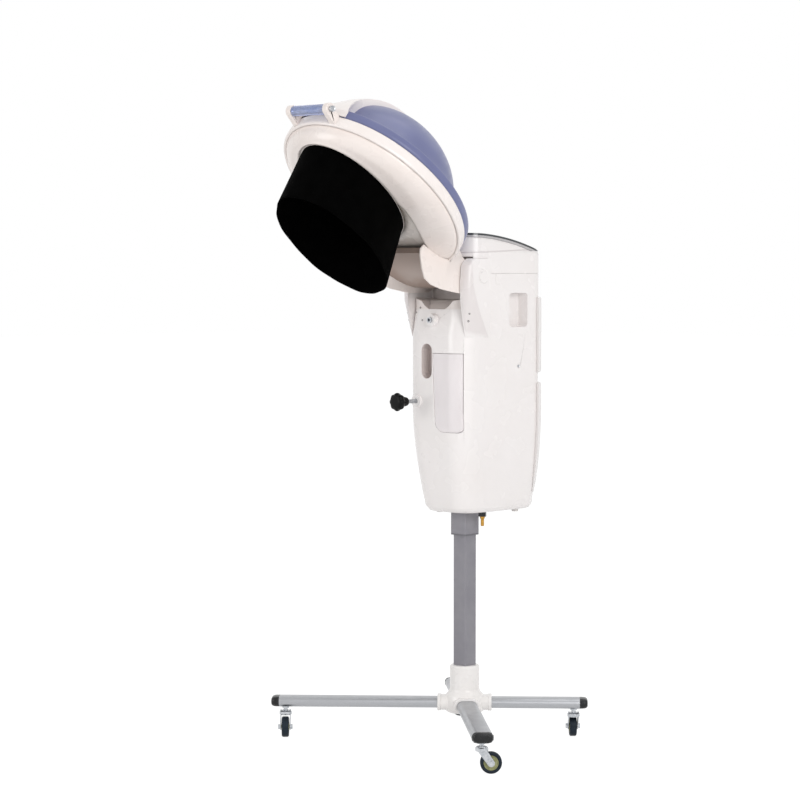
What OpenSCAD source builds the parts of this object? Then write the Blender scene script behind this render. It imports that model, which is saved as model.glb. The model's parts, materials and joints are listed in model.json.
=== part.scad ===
// Hair steamer on a wheeled four-leg stand. Millimetres, +Z up.
// The origin is on the floor under the column. -Y is the front, where the client sits.

/* [Stand] */
// Angle of each leg from the front or rear direction
leg_angle = 48; // [40:1:54]
// Reach of the two front legs, to the tip of the cap
front_leg_reach = 473; // [420:1:520]
// Reach of the two rear legs, to the tip of the cap
rear_leg_reach = 300; // [260:1:360]
// Width of the flat-oval leg tube
leg_w = 50; // [44:1:54]
// Height of the flat-oval leg tube
leg_h = 25; // [22:1:28]
// Wall of the leg tube
leg_wall = 2; // [1.5:0.1:3]
// Height of the legs' underside above the floor
leg_under = 73; // [70:1:84]
// Length of a leg's end cap outside the tube
cap_nose = 19; // [12:1:26]
// Depth of an end cap's plug inside the tube
cap_plug = 6; // [4:0.5:6]
// Radius of the hub's lower body
hub_r = 50; // [47:1:58]
// Radius of the hub's collar
collar_r = 36; // [34:1:42]
// Height of the collar's top above the floor
collar_top = 178; // [160:1:200]
// Wall of the hub's leg sockets
socket_wall = 5; // [4:0.5:7]
// Distance from the column's axis to a socket's mouth
socket_reach = 66; // [60:1:76]

/* [Casters] */
// Wheel diameter
wheel_d = 50; // [46:1:52]
// Width of the tyre
wheel_w = 17.5; // [14:0.5:19]
// Radius of the wheel's core
core_r = 17; // [14:0.5:19]
// Radius of the axle
axle_r = 4; // [3:0.25:5]
// Distance from the swivel's axis back to the axle
trail = 21; // [18:1:24]
// Distance from a cap's tip in to its caster
caster_inset = 34; // [32:1:44]
// Directions in which the casters trail, seen from above, for the four legs
caster_yaw = [-45, 45, 135, 90];

/* [Column] */
// Width of the square inner column
column_w = 40; // [36:1:42]
// Wall of the inner column
column_wall = 2; // [1.5:0.1:3]
// Height of the inner column's top above the floor
column_top = 970; // [920:5:990]
// Width of the square outer sleeve
sleeve_w = 50; // [48:1:54]
// Wall of the outer sleeve
sleeve_wall = 2; // [1.5:0.1:2.5]
// Height of the sleeve's lower end above the floor
sleeve_bottom = 500; // [480:1:520]
// Height of the sleeve's upper end above the floor
sleeve_top = 1020; // [980:1:1030]
// Length of the guide bush inside the sleeve
bush_l = 120; // [80:5:160]

/* [Tower] */
// Half width of the housing
tower_hw = 100; // [96:1:104]
// Distance from the column's axis to the housing's front face
tower_front = 112; // [108:1:118]
// Distance from the column's axis to the housing's rear face
tower_rear = 183; // [176:1:190]
// Height of the housing's underside
tower_bottom = 556; // [550:1:562]
// Height at which the top cap meets the housing
cap_seam = 1132; // [1128:1:1136]
// Height of the top cap's rim
cap_rim = 1186; // [1182:1:1190]
// Wall of the moulded shells
shell_wall = 3; // [2.5:0.25:4]
// Corner radius at the front
front_corner = 55; // [48:1:58]
// Corner radius at the rear
rear_corner = 45; // [38:1:50]
// How far each side draws in at the foot of the housing
foot_taper = 18; // [12:1:22]
// Height at which the taper starts
taper_start = 800; // [780:5:820]
// How far the rear covers stand proud
cover_proud = 8; // [5:0.5:10]
// Thickness of the two rear covers
cover_wall = 7.7; // [4.7:0.1:9.7]

/* [Console] */
// Height of the console's top above the floor, at its front
console_top = 1229; // [1222:1:1236]
// Radius of the curve along the console's top
console_curve = 781; // [700:5:860]
// Thickness of the dark control panel
panel_t = 10; // [8:0.5:12]
// Length of the display window, across the panel
display_w = 60; // [40:1:70]
// Depth of the display window, along the panel
display_l = 24; // [18:1:30]
// Radius of a key
key_r = 9; // [7:0.5:10]
// Distance between two keys
key_pitch = 32; // [26:1:38]
// Distance that a key travels
key_travel = 1.5; // [1:0.1:2.5]

/* [Cheeks] */
// Half width over the two cheeks that carry the hood
cheek_hw = 110; // [108:1:114]
// Half width between the cheeks
cheek_in = 86.5; // [85.5:0.5:89]
// Height of the cheeks' tops
cheek_top = 1168; // [1164:1:1172]
// Height of the cheeks' lower tips
cheek_tip = 981; // [974:1:990]
// Height of the tilt axis
tilt_z = 1125; // [1120:1:1130]
// Distance of the tilt axis in front of the column's axis
tilt_y = 54; // [50:1:58]
// Radius of a tilt pin
pin_r = 9; // [7:0.5:11]
// Radius of a pivot cap
pivot_cap_r = 17; // [14:0.5:19]
// Lowest height of the front saddle between the cheeks
saddle_z = 1047; // [1040:1:1054]

/* [Bottle] */
// Width of the water bottle
bottle_w = 86; // [76:1:88]
// Height of the water bottle
bottle_h = 188; // [160:1:196]
// Height of the bottle's underside
bottle_z = 753; // [748:1:760]
// Depth of the bottle from the housing's front face
bottle_d = 64; // [54:1:66]
// Wall of the bottle
bottle_wall = 2; // [1.5:0.25:3]
// Clearance round the bottle in its pocket
bottle_gap = 0.8; // [0.4:0.1:1.2]
// Depth of the finger slot and the side grips
grip_depth = 30; // [24:1:34]

/* [Clamp knob] */
// Radius of the knob's head over its lobes
knob_r = 23; // [20:0.5:26]
// Number of lobes on the knob
knob_lobes = 8; // [6:1:10]
// Thickness of the knob's head
knob_t = 13; // [10:0.5:18]
// Sideways distance from the column's axis to the knob's axis
knob_x = 53; // [48:1:58]
// Height of the knob's axis
knob_z = 825; // [810:1:840]
// Radius of the knob's threaded stud
stud_r = 5; // [4:0.5:6]

/* [Boiler] */
// Radius of the boiler
boiler_r = 46; // [38:1:48]
// Height of the boiler's body
boiler_h = 210; // [160:5:230]
// Wall of the boiler
boiler_wall = 2; // [1.5:0.25:3]
// Distance from the column's axis back to the boiler's axis
boiler_y = 108; // [104:1:114]

/* [Hood] */
// Angle between the hood's opening and the horizontal
hood_tilt = 40; // [36:1:44]
// Distance of the hood's centre in front of the column's axis
hood_y = 312; // [308:1:320]
// Height of the hood's centre
hood_z = 1321; // [1316:1:1328]
// Half width of the oval rim hoop
hood_hw = 217; // [210:1:224]
// Half length of the oval rim hoop
hood_hl = 253.5; // [246:0.5:258]
// Height of the rim hoop's band
hoop_h = 28; // [24:1:32]
// Half width of the dome above its flange
dome_hw = 158; // [156:1:170]
// Half length of the dome above its flange
dome_hl = 190; // [182:1:196]
// Height of the dome's crown above the hoop's middle
dome_h = 193; // [182:1:196]
// Wall of the dome
dome_wall = 3; // [2:0.25:4]
// Half width of the opening that carries the skirt
opening_hw = 117; // [110:1:124]
// Half length of the opening that carries the skirt
opening_hl = 164.5; // [158:0.5:170]
// Offset of the opening towards the handle
opening_y = 54; // [48:1:58]
// Distance of the opening below the hoop's middle
opening_z = 47; // [42:1:54]
// Wall of the moulded hood parts
hood_wall = 3.5; // [3:0.25:4.5]
// Half width of the neck
neck_hw = 84; // [82:1:86]
// Drop of the skirt along the hood's axis
skirt_drop = 138; // [120:1:150]
// Sideways lean of the skirt as it hangs
skirt_lean = 30; // [20:1:36]
// Thickness of the skirt
skirt_t = 2.5; // [2:0.5:4]
// Number of soft folds round the skirt's lower edge
skirt_folds = 7; // [4:1:12]
// Depth of a fold at the skirt's lower edge
fold_depth = 3; // [1:0.5:5]

/* [Handle] */
// Length of the handle's grip between its brackets
grip_l = 106; // [90:1:116]
// Radius of the handle's grip
grip_r = 12; // [9:0.5:13]
// Thickness of each bracket
bracket_t = 14; // [10:1:18]
// Distance of the grip's axis from the hood's axis
grip_reach = 273; // [268:1:288]

/* [Hidden] */
$fn = 64;
fit = 0.2;
seat = 0.3;

leg_mid = leg_under + leg_h / 2;
leg_top = leg_under + leg_h;
leg_dirs = [-90 - leg_angle, leg_angle - 90, 90 - leg_angle, 90 + leg_angle];
leg_reach = [front_leg_reach, front_leg_reach, rear_leg_reach, rear_leg_reach];
leg_start = 27;
wheel_r = wheel_d / 2;
fork_gap = wheel_w / 2 + 1.8;
fork_top = 62;

// Points on an arc of a circle, or of an ellipse when ry is given.
function arc(cx, cy, r, a0, a1, n, ry = 0) =
    [for (i = [0:n]) let (a = a0 + (a1 - a0) * i / n)
        [cx + r * cos(a), cy + (ry == 0 ? r : ry) * sin(a)]];

// A rectangle with round corners, counter-clockwise from the front left.
function rounded(x0, x1, y0, y1, rf, rr, n = 6) = concat(
    arc(x0 + rf, y0 + rf, rf, 180, 270, n), arc(x1 - rf, y0 + rf, rf, 270, 360, n),
    arc(x1 - rr, y1 - rr, rr, 0, 90, n), arc(x0 + rr, y1 - rr, rr, 90, 180, n));
function square_outline(w, r) = rounded(-w / 2, w / 2, -w / 2, w / 2, r, r, 4);
function stadium(w, h, n = 8) = concat(
    arc(w / 2 - h / 2, 0, h / 2, -90, 90, n), arc(-w / 2 + h / 2, 0, h / 2, 90, 270, n));
function at_height(outline, z) = [for (p = outline) [p[0], p[1], z]];

// A solid skin over rings of points, from the lowest ring to the highest.
module loft(rings) {
    n = len(rings[0]);
    points = [for (r = rings) for (p = r) p];
    sides = [for (k = [0:len(rings) - 2]) for (i = [0:n - 1])
        let (a = k * n + i, b = k * n + (i + 1) % n) each [[a, a + n, b + n], [a, b + n, b]]];
    last = (len(rings) - 1) * n;
    polyhedron(points, concat([[for (i = [0:n - 1]) i]], sides, [[for (i = [n - 1:-1:0]) last + i]]));
}

// The outline round two circles, as a convex link plate.
function link_plate(r0, x1, y1, r1, n = 8) =
    let (d = norm([x1, y1]), a = atan2(y1, x1), s = acos((r0 - r1) / d))
    concat(arc(0, 0, r0, a + s, a + 360 - s, 2 * n), arc(x1, y1, r1, a - s, a + s, n));

// The stand

module along_leg(i) rotate([0, 0, leg_dirs[i]]) translate([0, 0, leg_mid]) rotate([90, 0, 90]) children();
module leg_bar(outline, from, to) translate([0, 0, from]) linear_extrude(to - from) polygon(outline);

module base_hub() {
    color("#f2eeec") difference() {
        union() {
            rotate_extrude() polygon([[0, 62], [hub_r - 10, 62], [hub_r - 4, 65], [hub_r, 72],
                [hub_r - 1, 96], [hub_r - 5, 106], [collar_r + 2, 114], [collar_r, 120],
                [collar_r, collar_top - 3], [collar_r - 3, collar_top], [0, collar_top]]);
            for (i = [0:3]) along_leg(i) {
                leg_bar(stadium(leg_w + 2 * socket_wall, leg_h + 2 * socket_wall), 30, socket_reach - 8);
                leg_bar(stadium(leg_w + 2 * socket_wall + 3, leg_h + 2 * socket_wall + 3),
                    socket_reach - 8, socket_reach);
            }
        }
        for (i = [0:3]) along_leg(i) leg_bar(stadium(leg_w, leg_h), leg_start, socket_reach + 1);
        translate([0, 0, leg_top + 1.5]) linear_extrude(collar_top) polygon(square_outline(column_w, 3));
    }
}

module leg(i) {
    tube_end = leg_reach[i] - cap_nose;
    difference() {
        along_leg(i) difference() {
            leg_bar(stadium(leg_w, leg_h), leg_start, tube_end);
            leg_bar(stadium(leg_w - 2 * leg_wall, leg_h - 2 * leg_wall), leg_start - 1, tube_end + 1);
        }
        at_caster(i) translate([0, 0, leg_under - 5]) cylinder(r = 5.1, h = 12);
    }
}
module leg_front_far() color("#b9bcc0") leg(0);
module leg_front_near() color("#b9bcc0") leg(1);
module leg_rear_near() color("#b9bcc0") leg(2);
module leg_rear_far() color("#b9bcc0") leg(3);

module leg_end_caps() {
    color("#17181a") for (i = [0:3]) along_leg(i) translate([0, 0, leg_reach[i]]) mirror([0, 0, 1]) {
        loft([for (k = [0:4]) let (s = sin(90 * k / 4), c = 1 - cos(90 * k / 4))
            at_height(stadium(leg_w - 14 * (1 - s), leg_h - 12 * (1 - s), 5), cap_nose * c * 0.62)]);
        translate([0, 0, cap_nose * 0.62]) linear_extrude(cap_nose * 0.38) polygon(stadium(leg_w, leg_h));
        translate([0, 0, cap_nose - 0.5]) linear_extrude(cap_plug)
            polygon(stadium(leg_w - 2 * leg_wall - fit, leg_h - 2 * leg_wall - fit));
    }
}

module inner_column() {
    color("#8e8c92") translate([0, 0, leg_top + 1.5]) linear_extrude(column_top - leg_top - 1.5)
        difference() {
        polygon(square_outline(column_w, 3));
        polygon(square_outline(column_w - 2 * column_wall, 1.5));
    }
}

// The casters

module at_caster(i) rotate([0, 0, leg_dirs[i]]) translate([leg_reach[i] - caster_inset, 0, 0])
    rotate([0, 0, -leg_dirs[i]]) children();
module trailing(i) at_caster(i) rotate([0, 0, caster_yaw[i]]) children();

module caster_stems() {
    color("#b8babd") for (i = [0:3]) at_caster(i) {
        rotate_extrude() polygon([[0, 52], [8.5, 52], [8.5, 56.7], [5, 56.7], [5, 68], [8.5, 68],
            [8.5, leg_under], [5, leg_under], [5, leg_under + 12], [0, leg_under + 12]]);
        translate([0, 0, leg_under + leg_wall]) cylinder(r = 9, h = 7, $fn = 6);
    }
}

module caster_fork(i) {
    color("#c4c6c9") trailing(i) {
        difference() {
            union() {
                rotate_extrude() polygon([[0, 51.5], [14, 51.5], [15, 53], [15, 59], [12, fork_top],
                    [0, fork_top]]);
                for (s = [-1, 1]) translate([0, s * (fork_gap + 1), 0]) rotate([90, 0, 0])
                    translate([0, 0, -1]) linear_extrude(2) translate([0, 55])
                    polygon(link_plate(9, trail, wheel_r - 55, axle_r + 4.5));
            }
            translate([0, 0, 50]) cylinder(r = 9.2, h = 7);
            translate([0, 0, 50]) cylinder(r = 5.1, h = 20);
            translate([trail, 0, wheel_r]) rotate([90, 0, 0])
                cylinder(r = wheel_r + 1.2, h = 2 * fork_gap, center = true);
            translate([trail, 0, wheel_r]) rotate([90, 0, 0]) cylinder(r = axle_r, h = 60, center = true);
        }
        translate([trail, 0, wheel_r]) rotate([90, 0, 0]) {
            cylinder(r = axle_r, h = 2 * fork_gap + 10, center = true);
            for (s = [-1, 1]) translate([0, 0, s * (fork_gap + 4.5)])
                cylinder(r = axle_r + 2.6, h = 5, center = true, $fn = 6);
        }
    }
}
module caster_fork_1() color("#c4c6c9") caster_fork(0);
module caster_fork_2() color("#c4c6c9") caster_fork(1);
module caster_fork_3() color("#c4c6c9") caster_fork(2);
module caster_fork_4() color("#c4c6c9") caster_fork(3);

module at_axle(i) trailing(i) translate([trail, 0, wheel_r]) rotate([90, 0, 0]) children();
module wheel_core(i) at_axle(i) rotate_extrude() polygon([
    [axle_r + 0.08, -wheel_w / 2 - 0.9], [axle_r + 4, -wheel_w / 2 - 0.9], [axle_r + 4.5, -wheel_w / 2 + 2],
    [core_r - 3, -wheel_w / 2 + 2.5], [core_r - 1.5, -wheel_w / 2 + 1], [core_r, -wheel_w / 2 + 1],
    [core_r, wheel_w / 2 - 1], [core_r - 1.5, wheel_w / 2 - 1], [core_r - 3, wheel_w / 2 - 2.5],
    [axle_r + 4.5, wheel_w / 2 - 2], [axle_r + 4, wheel_w / 2 + 0.9], [axle_r + 0.08, wheel_w / 2 + 0.9]]);
module wheel_core_1() color("#8b8d5a") wheel_core(0);
module wheel_core_2() color("#8b8d5a") wheel_core(1);
module wheel_core_3() color("#8b8d5a") wheel_core(2);
module wheel_core_4() color("#8b8d5a") wheel_core(3);

module wheel_tyre(i) at_axle(i) rotate_extrude() polygon(concat(
    [[core_r, -wheel_w / 2 + 1], [core_r + 1, -wheel_w / 2]],
    arc(wheel_r - 4, -wheel_w / 2 + 4, 4, 270, 360, 5), arc(wheel_r - 4, wheel_w / 2 - 4, 4, 0, 90, 5),
    [[core_r + 1, wheel_w / 2], [core_r, wheel_w / 2 - 1]]));
module wheel_tyre_1() color("#56657a") wheel_tyre(0);
module wheel_tyre_2() color("#56657a") wheel_tyre(1);
module wheel_tyre_3() color("#56657a") wheel_tyre(2);
module wheel_tyre_4() color("#56657a") wheel_tyre(3);

// The sleeve and the chassis

module column_sleeve() {
    color("#8e8c92") difference() {
        translate([0, 0, sleeve_bottom]) linear_extrude(sleeve_top - sleeve_bottom) difference() {
            polygon(square_outline(sleeve_w, 4));
            polygon(square_outline(sleeve_w - 2 * sleeve_wall, 2));
        }
        translate([-sleeve_w, -1, knob_z - 30]) cube([sleeve_w, 2, 60]);
    }
}
module sleeve_bush() {
    color("#6f6e73") translate([0, 0, sleeve_bottom - 3]) difference() {
        union() {
            linear_extrude(3) polygon(square_outline(sleeve_w, 4));
            linear_extrude(bush_l + 3) polygon(square_outline(sleeve_w - 2 * sleeve_wall, 2));
        }
        translate([0, 0, -1]) linear_extrude(bush_l + 5) polygon(square_outline(column_w + 2 * fit, 3));
    }
}

clamp_wall = 12;
chassis_t = 3;
chassis_y = sleeve_w / 2;
shelf_z = 640;
chassis_hw = 62;
chassis_low = tower_bottom + shell_wall + seat;
feed_x = 38;
feed_z = bottle_z + 22;
board_w = 96;
board_h = 110;
board_z = 905;
module chassis() {
    color("#a9acb0") difference() {
        union() {
            translate([-chassis_hw, chassis_y, chassis_low]) cube([2 * chassis_hw, chassis_t,
                1040 - chassis_low]);
            translate([-chassis_hw, chassis_y, shelf_z - chassis_t])
                cube([2 * chassis_hw, boiler_y + boiler_r - chassis_y, chassis_t]);
            for (s = [-1, 1]) translate([s * (chassis_hw - chassis_t / 2), chassis_y + chassis_t,
                shelf_z - chassis_t])
                rotate([90, 0, 90]) translate([0, 0, -chassis_t / 2]) linear_extrude(chassis_t)
                polygon([[-1, 0.5], [boiler_y + boiler_r - chassis_y - chassis_t, 0.5],
                    [boiler_y + boiler_r - chassis_y - chassis_t, -6], [-1, -40]]);
        }
        translate([feed_x, chassis_y - 1, feed_z]) rotate([-90, 0, 0]) cylinder(r = 8, h = 10);
        translate([0, boiler_y, shelf_z - 10]) cylinder(r = 30, h = 20);
        translate([-knob_x - 18, chassis_y - 1, knob_z - 22])
            cube([knob_x + 18 + sleeve_w / 2 + clamp_wall + 2, 5, 44]);
    }
}

// The housing

taper_low = tower_bottom + 24;
function draw_in(z) = z < taper_start ? foot_taper * pow((taper_start - z) / (taper_start - taper_low), 1.6) : 0;
side_share = 0.8;
front_share = 1.5;
rear_share = 0.25;
function outline_at(z, off) = let (d = draw_in(z)) rounded(
    -tower_hw + side_share * d - off, tower_hw - side_share * d + off,
    -tower_front + front_share * d + lean_back(z) - off, tower_rear - rear_share * d + off,
    front_corner + off, rear_corner + off);
function lean_back(z) = z > 985 ? 12 * (min(z, saddle_z) - 985) / (saddle_z - 985) : 0;
foot_r = 14;
tower_levels = [tower_bottom + foot_r, 600, 640, 680, 720, 760, taper_start, 985, saddle_z, cap_seam];
// The lowest rings round the foot's edge, then the walls rise to the seam.
module tower_solid(off) loft(concat(
    [for (a = [0, 35, 65]) let (e = foot_r * (1 - sin(a)))
        at_height(outline_at(tower_bottom, off - e), tower_bottom + foot_r * (1 - cos(a)) - off)],
    [for (z = tower_levels) at_height(outline_at(z, off), z)]));

// Half a cheek: the flat outer side ends further back towards its lower tip.
cheek_levels = [[cheek_tip, 30, 94, 9], [998, 44, 98, 6], [1018, 60, 102, 3], [1044, 76, 107, 1],
    [1068, 90, 111, 0], [1115, 94, 111, 0], [1150, 93, 108, 0], [1162, 84, 99, 0], [cheek_top, 74, 88, 0]];
cheek_rear = 27;
function cheek_ring(v) = at_height(concat([[cheek_in, -cheek_rear], [cheek_in, -v[2]]],
    arc(cheek_in, -v[1], cheek_hw - cheek_in - v[3], 270, 360, 7, v[2] - v[1]),
    [[cheek_hw - v[3], -cheek_rear]]), v[0]);
function tail(list, n) = [for (i = [n:len(list) - 1]) list[i]];
module cheek() loft([for (v = cheek_levels) let (r = cheek_ring(v)) concat([r[0]], tail(r, 2))]);
module both_sides() {
    children();
    mirror([1, 0, 0]) children();
}

bottle_x0 = -3;
bottle_x1 = bottle_x0 + bottle_w;
// The bottle's outline seen from above and from the front, grown by a margin.
function bottle_plan(m) = concat(
    [[bottle_x0 - m, -tower_front + bottle_d + m], [bottle_x0 - m, -tower_front + 1 - m]],
    [for (p = arc(tower_hw - front_corner, -tower_front + front_corner, front_corner - 1 + m, 270, 320, 6))
        [min(p[0], bottle_x1 + m), p[1]]],
    [[bottle_x1 + m, -tower_front + 22], [bottle_x1 + m, -tower_front + bottle_d + m]]);
function bottle_face(m) = concat(
    arc(bottle_x0 + 34 - m / 2, bottle_z + 26 - m / 2, 26, 180, 270, 5),
    arc(bottle_x1 - 12 + m, bottle_z + 12 - m, 12, 270, 360, 4),
    [[bottle_x1 + m, bottle_z + bottle_h + m], [bottle_x0 - m, bottle_z + bottle_h + m],
        [bottle_x0 - m, bottle_z + bottle_h - 20]]);
module bottle_form(m, front = 0) intersection() {
    translate([0, 0, bottle_z - 10]) linear_extrude(bottle_h + 20) polygon(bottle_plan(m));
    translate([0, 100, 0]) rotate([90, 0, 0]) linear_extrude(300) polygon(bottle_face(m));
}
module bottle_hole(m) intersection() {
    translate([bottle_x0 - m, -tower_front - 20, bottle_z - 10])
        cube([bottle_w + 2 * m, bottle_d + 20 + m, bottle_h + 20]);
    translate([0, 100, 0]) rotate([90, 0, 0]) linear_extrude(300) polygon(bottle_face(m));
}

slot_x = -22;
slot_w = 34;
slot_z = 922;
slot_h = 84;
module finger_slot(m) translate([slot_x, -tower_front + grip_depth + m, slot_z]) rotate([90, 0, 0])
    linear_extrude(grip_depth + 20 + m) rotate(90) polygon(stadium(slot_h + 2 * m, slot_w + 2 * m));

side_grip_y = 82;
side_grip_w = 66;
side_grip_z = 1044;
side_grip_h = 82;
module side_grip(m) translate([tower_hw - grip_depth - m, side_grip_y, side_grip_z]) rotate([90, 0, 90])
    linear_extrude(grip_depth + 20 + m) polygon(rounded(-side_grip_w / 2 - m, side_grip_w / 2 + m,
        -side_grip_h / 2 - m, side_grip_h / 2 + m, 9 + m, 9 + m, 4));

// Trough between the cheeks, where the neck enters, grown by a margin
// Its floor rises to the back, and its low part ends before the column, which passes behind it.
saddle_back = 3;
saddle_low_back = 24;
saddle_step_z = 1095.5;
saddle_floor = [[-96, saddle_z], [-62, saddle_z + 23], [10, saddle_z + 23]];
open_z = 1200;
module saddle_trough(m) {
    difference() {
        translate([0, m - saddle_low_back, 0]) rotate([90, 0, 0]) linear_extrude(140)
            polygon([[-26 - m / 2, saddle_z - m], [26 + m / 2, saddle_z - m],
                [40 + m / 2, saddle_z + 8 - m], [52 + m / 2, saddle_z + 20 - m],
                [cheek_in + m, saddle_z + 26 - m], [cheek_in + m, open_z],
                [-cheek_in - m, open_z], [-cheek_in - m, saddle_z + 26 - m],
                [-52 - m / 2, saddle_z + 20 - m], [-40 - m / 2, saddle_z + 8 - m]]);
        translate([-tower_hw, 0, -m]) rotate([90, 0, 90]) linear_extrude(2 * tower_hw)
            polygon(concat(saddle_floor, [[10, saddle_z - 20], [-96, saddle_z - 20]]));
    }
    translate([-cheek_in - m, m - saddle_back - 140, saddle_step_z - m])
        cube([2 * (cheek_in + m), 140, open_z - saddle_step_z + m]);
}
module hose_way() translate([0, -20, tilt_z]) rotate([-90, 0, 0]) cylinder(r = hose_r + seat, h = 40);

drain_x = 58;
knob_boss_y = 118;
pocket_wall = 2.5;
foot_places = [[-60, -25], [60, 116], [-60, 116]];
module body_shell() {
    color("#f3efee") difference() {
        union() {
            difference() {
                tower_solid(0);
                difference() {
                    tower_solid(-shell_wall);
                    bottle_form(bottle_gap + pocket_wall);
                    finger_slot(pocket_wall);
                    both_sides() side_grip(pocket_wall);
                    saddle_trough(pocket_wall);
                    for (p = foot_places) translate([p[0], p[1], tower_bottom]) cylinder(r = 9, h = 12);
                }
                translate([0, 0, cap_seam - 3]) linear_extrude(10)
                    polygon(rounded(-tower_hw + shell_wall, tower_hw - shell_wall,
                        -tower_front + 12 + shell_wall,
                        tower_rear - shell_wall, front_corner - shell_wall, rear_corner - shell_wall));
            }
            both_sides() cheek();
            translate([-knob_x, -tower_front + 8, knob_z]) rotate([90, 0, 0])
                cylinder(r = 15, h = knob_boss_y - tower_front + 8);
            translate([-5, -tower_front + 14, saddle_z - 26]) rotate([90, 0, 0]) cylinder(r = 15, h = 20);
        }
        saddle_trough(0);
        hose_way();
        bottle_hole(bottle_gap);
        translate([feed_x, valve_y, feed_z]) rotate([-90, 0, 0]) cylinder(r = 9, h = 12);
        finger_slot(0);
        both_sides() side_grip(0);
        translate([0, 0, tower_bottom - 10]) linear_extrude(40)
            polygon(square_outline(sleeve_w + 2 * fit, 4));
        translate([drain_x, 0, tower_bottom - 10]) cylinder(r = 6.2, h = 30);
        translate([-knob_x, 0, knob_z]) rotate([90, 0, 0]) cylinder(r = stud_r + 0.5, h = 160);
        // The stop pin's seat and the bores for the tilt pins
        translate([-5, -tower_front + 20, saddle_z - 26]) rotate([90, 0, 0]) cylinder(r = 7, h = 60);
        translate([0, -tilt_y, tilt_z]) rotate([0, 90, 0]) cylinder(r = pin_r, h = 300, center = true);
        // Service openings behind the rear covers
        translate([-52, tower_rear - 40, 690]) cube([104, 60, 150]);
        translate([-52, tower_rear - 40, 915]) cube([104, 60, 120]);
        for (s = [-1, 1]) translate([s * (tower_hw - 2), 84, 908]) rotate([0, s * 90, 0])
            cylinder(r = 5, h = 5);
        for (p = foot_places) translate([p[0], p[1], tower_bottom - 5]) cylinder(r = 3.1, h = 14);
    }
}

// A rear cover wraps the housing's rear corners. Each level is a height and how far it stands proud.
cover_start = 150;
cover_gap = 0.3;
cover_cut = 400;
module rear_cover(levels) difference() {
    loft([for (v = levels) at_height(outline_at(v[0], v[1]), v[0])]);
    loft([for (z = tower_levels) at_height(outline_at(z, cover_gap), z)]);
    translate([-cover_cut / 2, cover_start - cover_cut, tower_bottom - 20])
        cube([cover_cut, cover_cut, cap_seam - tower_bottom + 40]);
}
module upper_rear_cover() color("#efeceb") rear_cover([[891, cover_proud - 3], [895, cover_proud - 0.5],
    [985, cover_proud], [1071, cover_proud - 0.5], [1075, cover_proud - 3]]);
module lower_rear_cover() {
    color("#efeceb") difference() {
        rear_cover([[596, 2], [625, 5], [660, 7], [700, cover_proud], [760, cover_proud],
            [taper_start, cover_proud],
            [862, cover_proud - 0.5], [866, cover_proud - 3]]);
        translate([-25, tower_rear - 30, inlet_z - 15]) cube([50, 60, 30]);
    }
}

module foot_pads() {
    color("#dcd8d6") for (p = foot_places) translate([p[0], p[1], tower_bottom - 6]) {
        cylinder(r = 8, h = 6);
        cylinder(r = 3, h = 14);
    }
}

// The top cap and the console

cap_front = -80;
console_y0 = cap_front;
console_y1 = tower_rear - 6;
module console_prism(in, z0, z1) translate([0, 0, z0]) linear_extrude(z1 - z0)
    polygon(rounded(-tower_hw + in, tower_hw - in, console_y0 + in, console_y1 - in + 3, 42, 42));
module console_roll(r) translate([0, -91, console_top - console_curve]) rotate([0, 90, 0])
    cylinder(r = r, h = 400, center = true, $fn = 200);
function panel_z(y) = console_top - console_curve + sqrt(pow(console_curve, 2) - pow(y + 91, 2));
function panel_slope(y) = asin((y + 91) / console_curve);
module on_panel(x, y) translate([x, y, panel_z(y)]) rotate([-panel_slope(y), 0, 0]) children();
display_y = 62;
key_y = 112;
key_x = [-key_pitch, 0, key_pitch];

module top_cap() {
    color("#f3efee") difference() {
        union() {
            translate([0, 0, cap_seam + seat]) linear_extrude(cap_rim - cap_seam - seat - 4)
                polygon(rounded(-tower_hw, tower_hw, cap_front, tower_rear, 45, rear_corner));
            translate([0, 0, cap_rim - 4]) linear_extrude(4)
                polygon(rounded(-tower_hw + 1.5, tower_hw - 1.5, cap_front + 1.5, tower_rear - 1.5, 43.5,
                    rear_corner - 1.5));
            intersection() {
                console_prism(3, cap_rim - 2, console_top + 20);
                console_roll(console_curve - panel_t);
            }
            // Lip that drops inside the housing
            translate([0, 0, cap_seam - 3]) linear_extrude(6)
                polygon(rounded(-tower_hw + shell_wall + fit, tower_hw - shell_wall - fit, -20,
                    tower_rear - shell_wall - fit, 10, rear_corner - shell_wall - fit));
        }
        // Hollow inside
        translate([0, 0, cap_seam - 10]) linear_extrude(cap_rim - cap_seam + 6)
            polygon(rounded(-tower_hw + 6.5, tower_hw - 6.5, shell_wall, tower_rear - 6.5, 8,
                rear_corner - 6.5));
        intersection() {
            console_prism(7, cap_rim - 10, console_top + 20);
            console_roll(console_curve - panel_t - 3);
        }
        // Room for the cheeks, the neck and the hood behind them
        translate([-150, -200, cap_seam - 20]) cube([300, 200 - cheek_rear + seat,
            cheek_top + seat - cap_seam + 20]);
        translate([-cheek_in, -201, cap_seam - 20]) cube([2 * cheek_in, 201, cheek_top + 4 - cap_seam + 20]);
        hose_way();
        for (x = key_x) on_panel(x, key_y) cylinder(r = key_r + 0.4, h = 60, center = true);
        on_panel(0, display_y) cube([display_w - 6, display_l - 6, 60], center = true);
    }
}
module control_panel() {
    color("#23272b") difference() {
        intersection() {
            console_prism(0, cap_rim + 0.5, console_top + 20);
            console_roll(console_curve);
        }
        console_roll(console_curve - panel_t);
        for (x = key_x) on_panel(x, key_y) cylinder(r = key_r + 0.4, h = 60, center = true);
        on_panel(0, display_y) cube([display_w + 2 * fit, display_l + 2 * fit, 8], center = true);
        on_panel(0, display_y) cube([display_w - 6, display_l - 6, 60], center = true);
    }
}
module display_window() color("#3a4a52") on_panel(0, display_y)
    translate([-display_w / 2, -display_l / 2, -4])
    cube([display_w, display_l, 3.6]);
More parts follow.
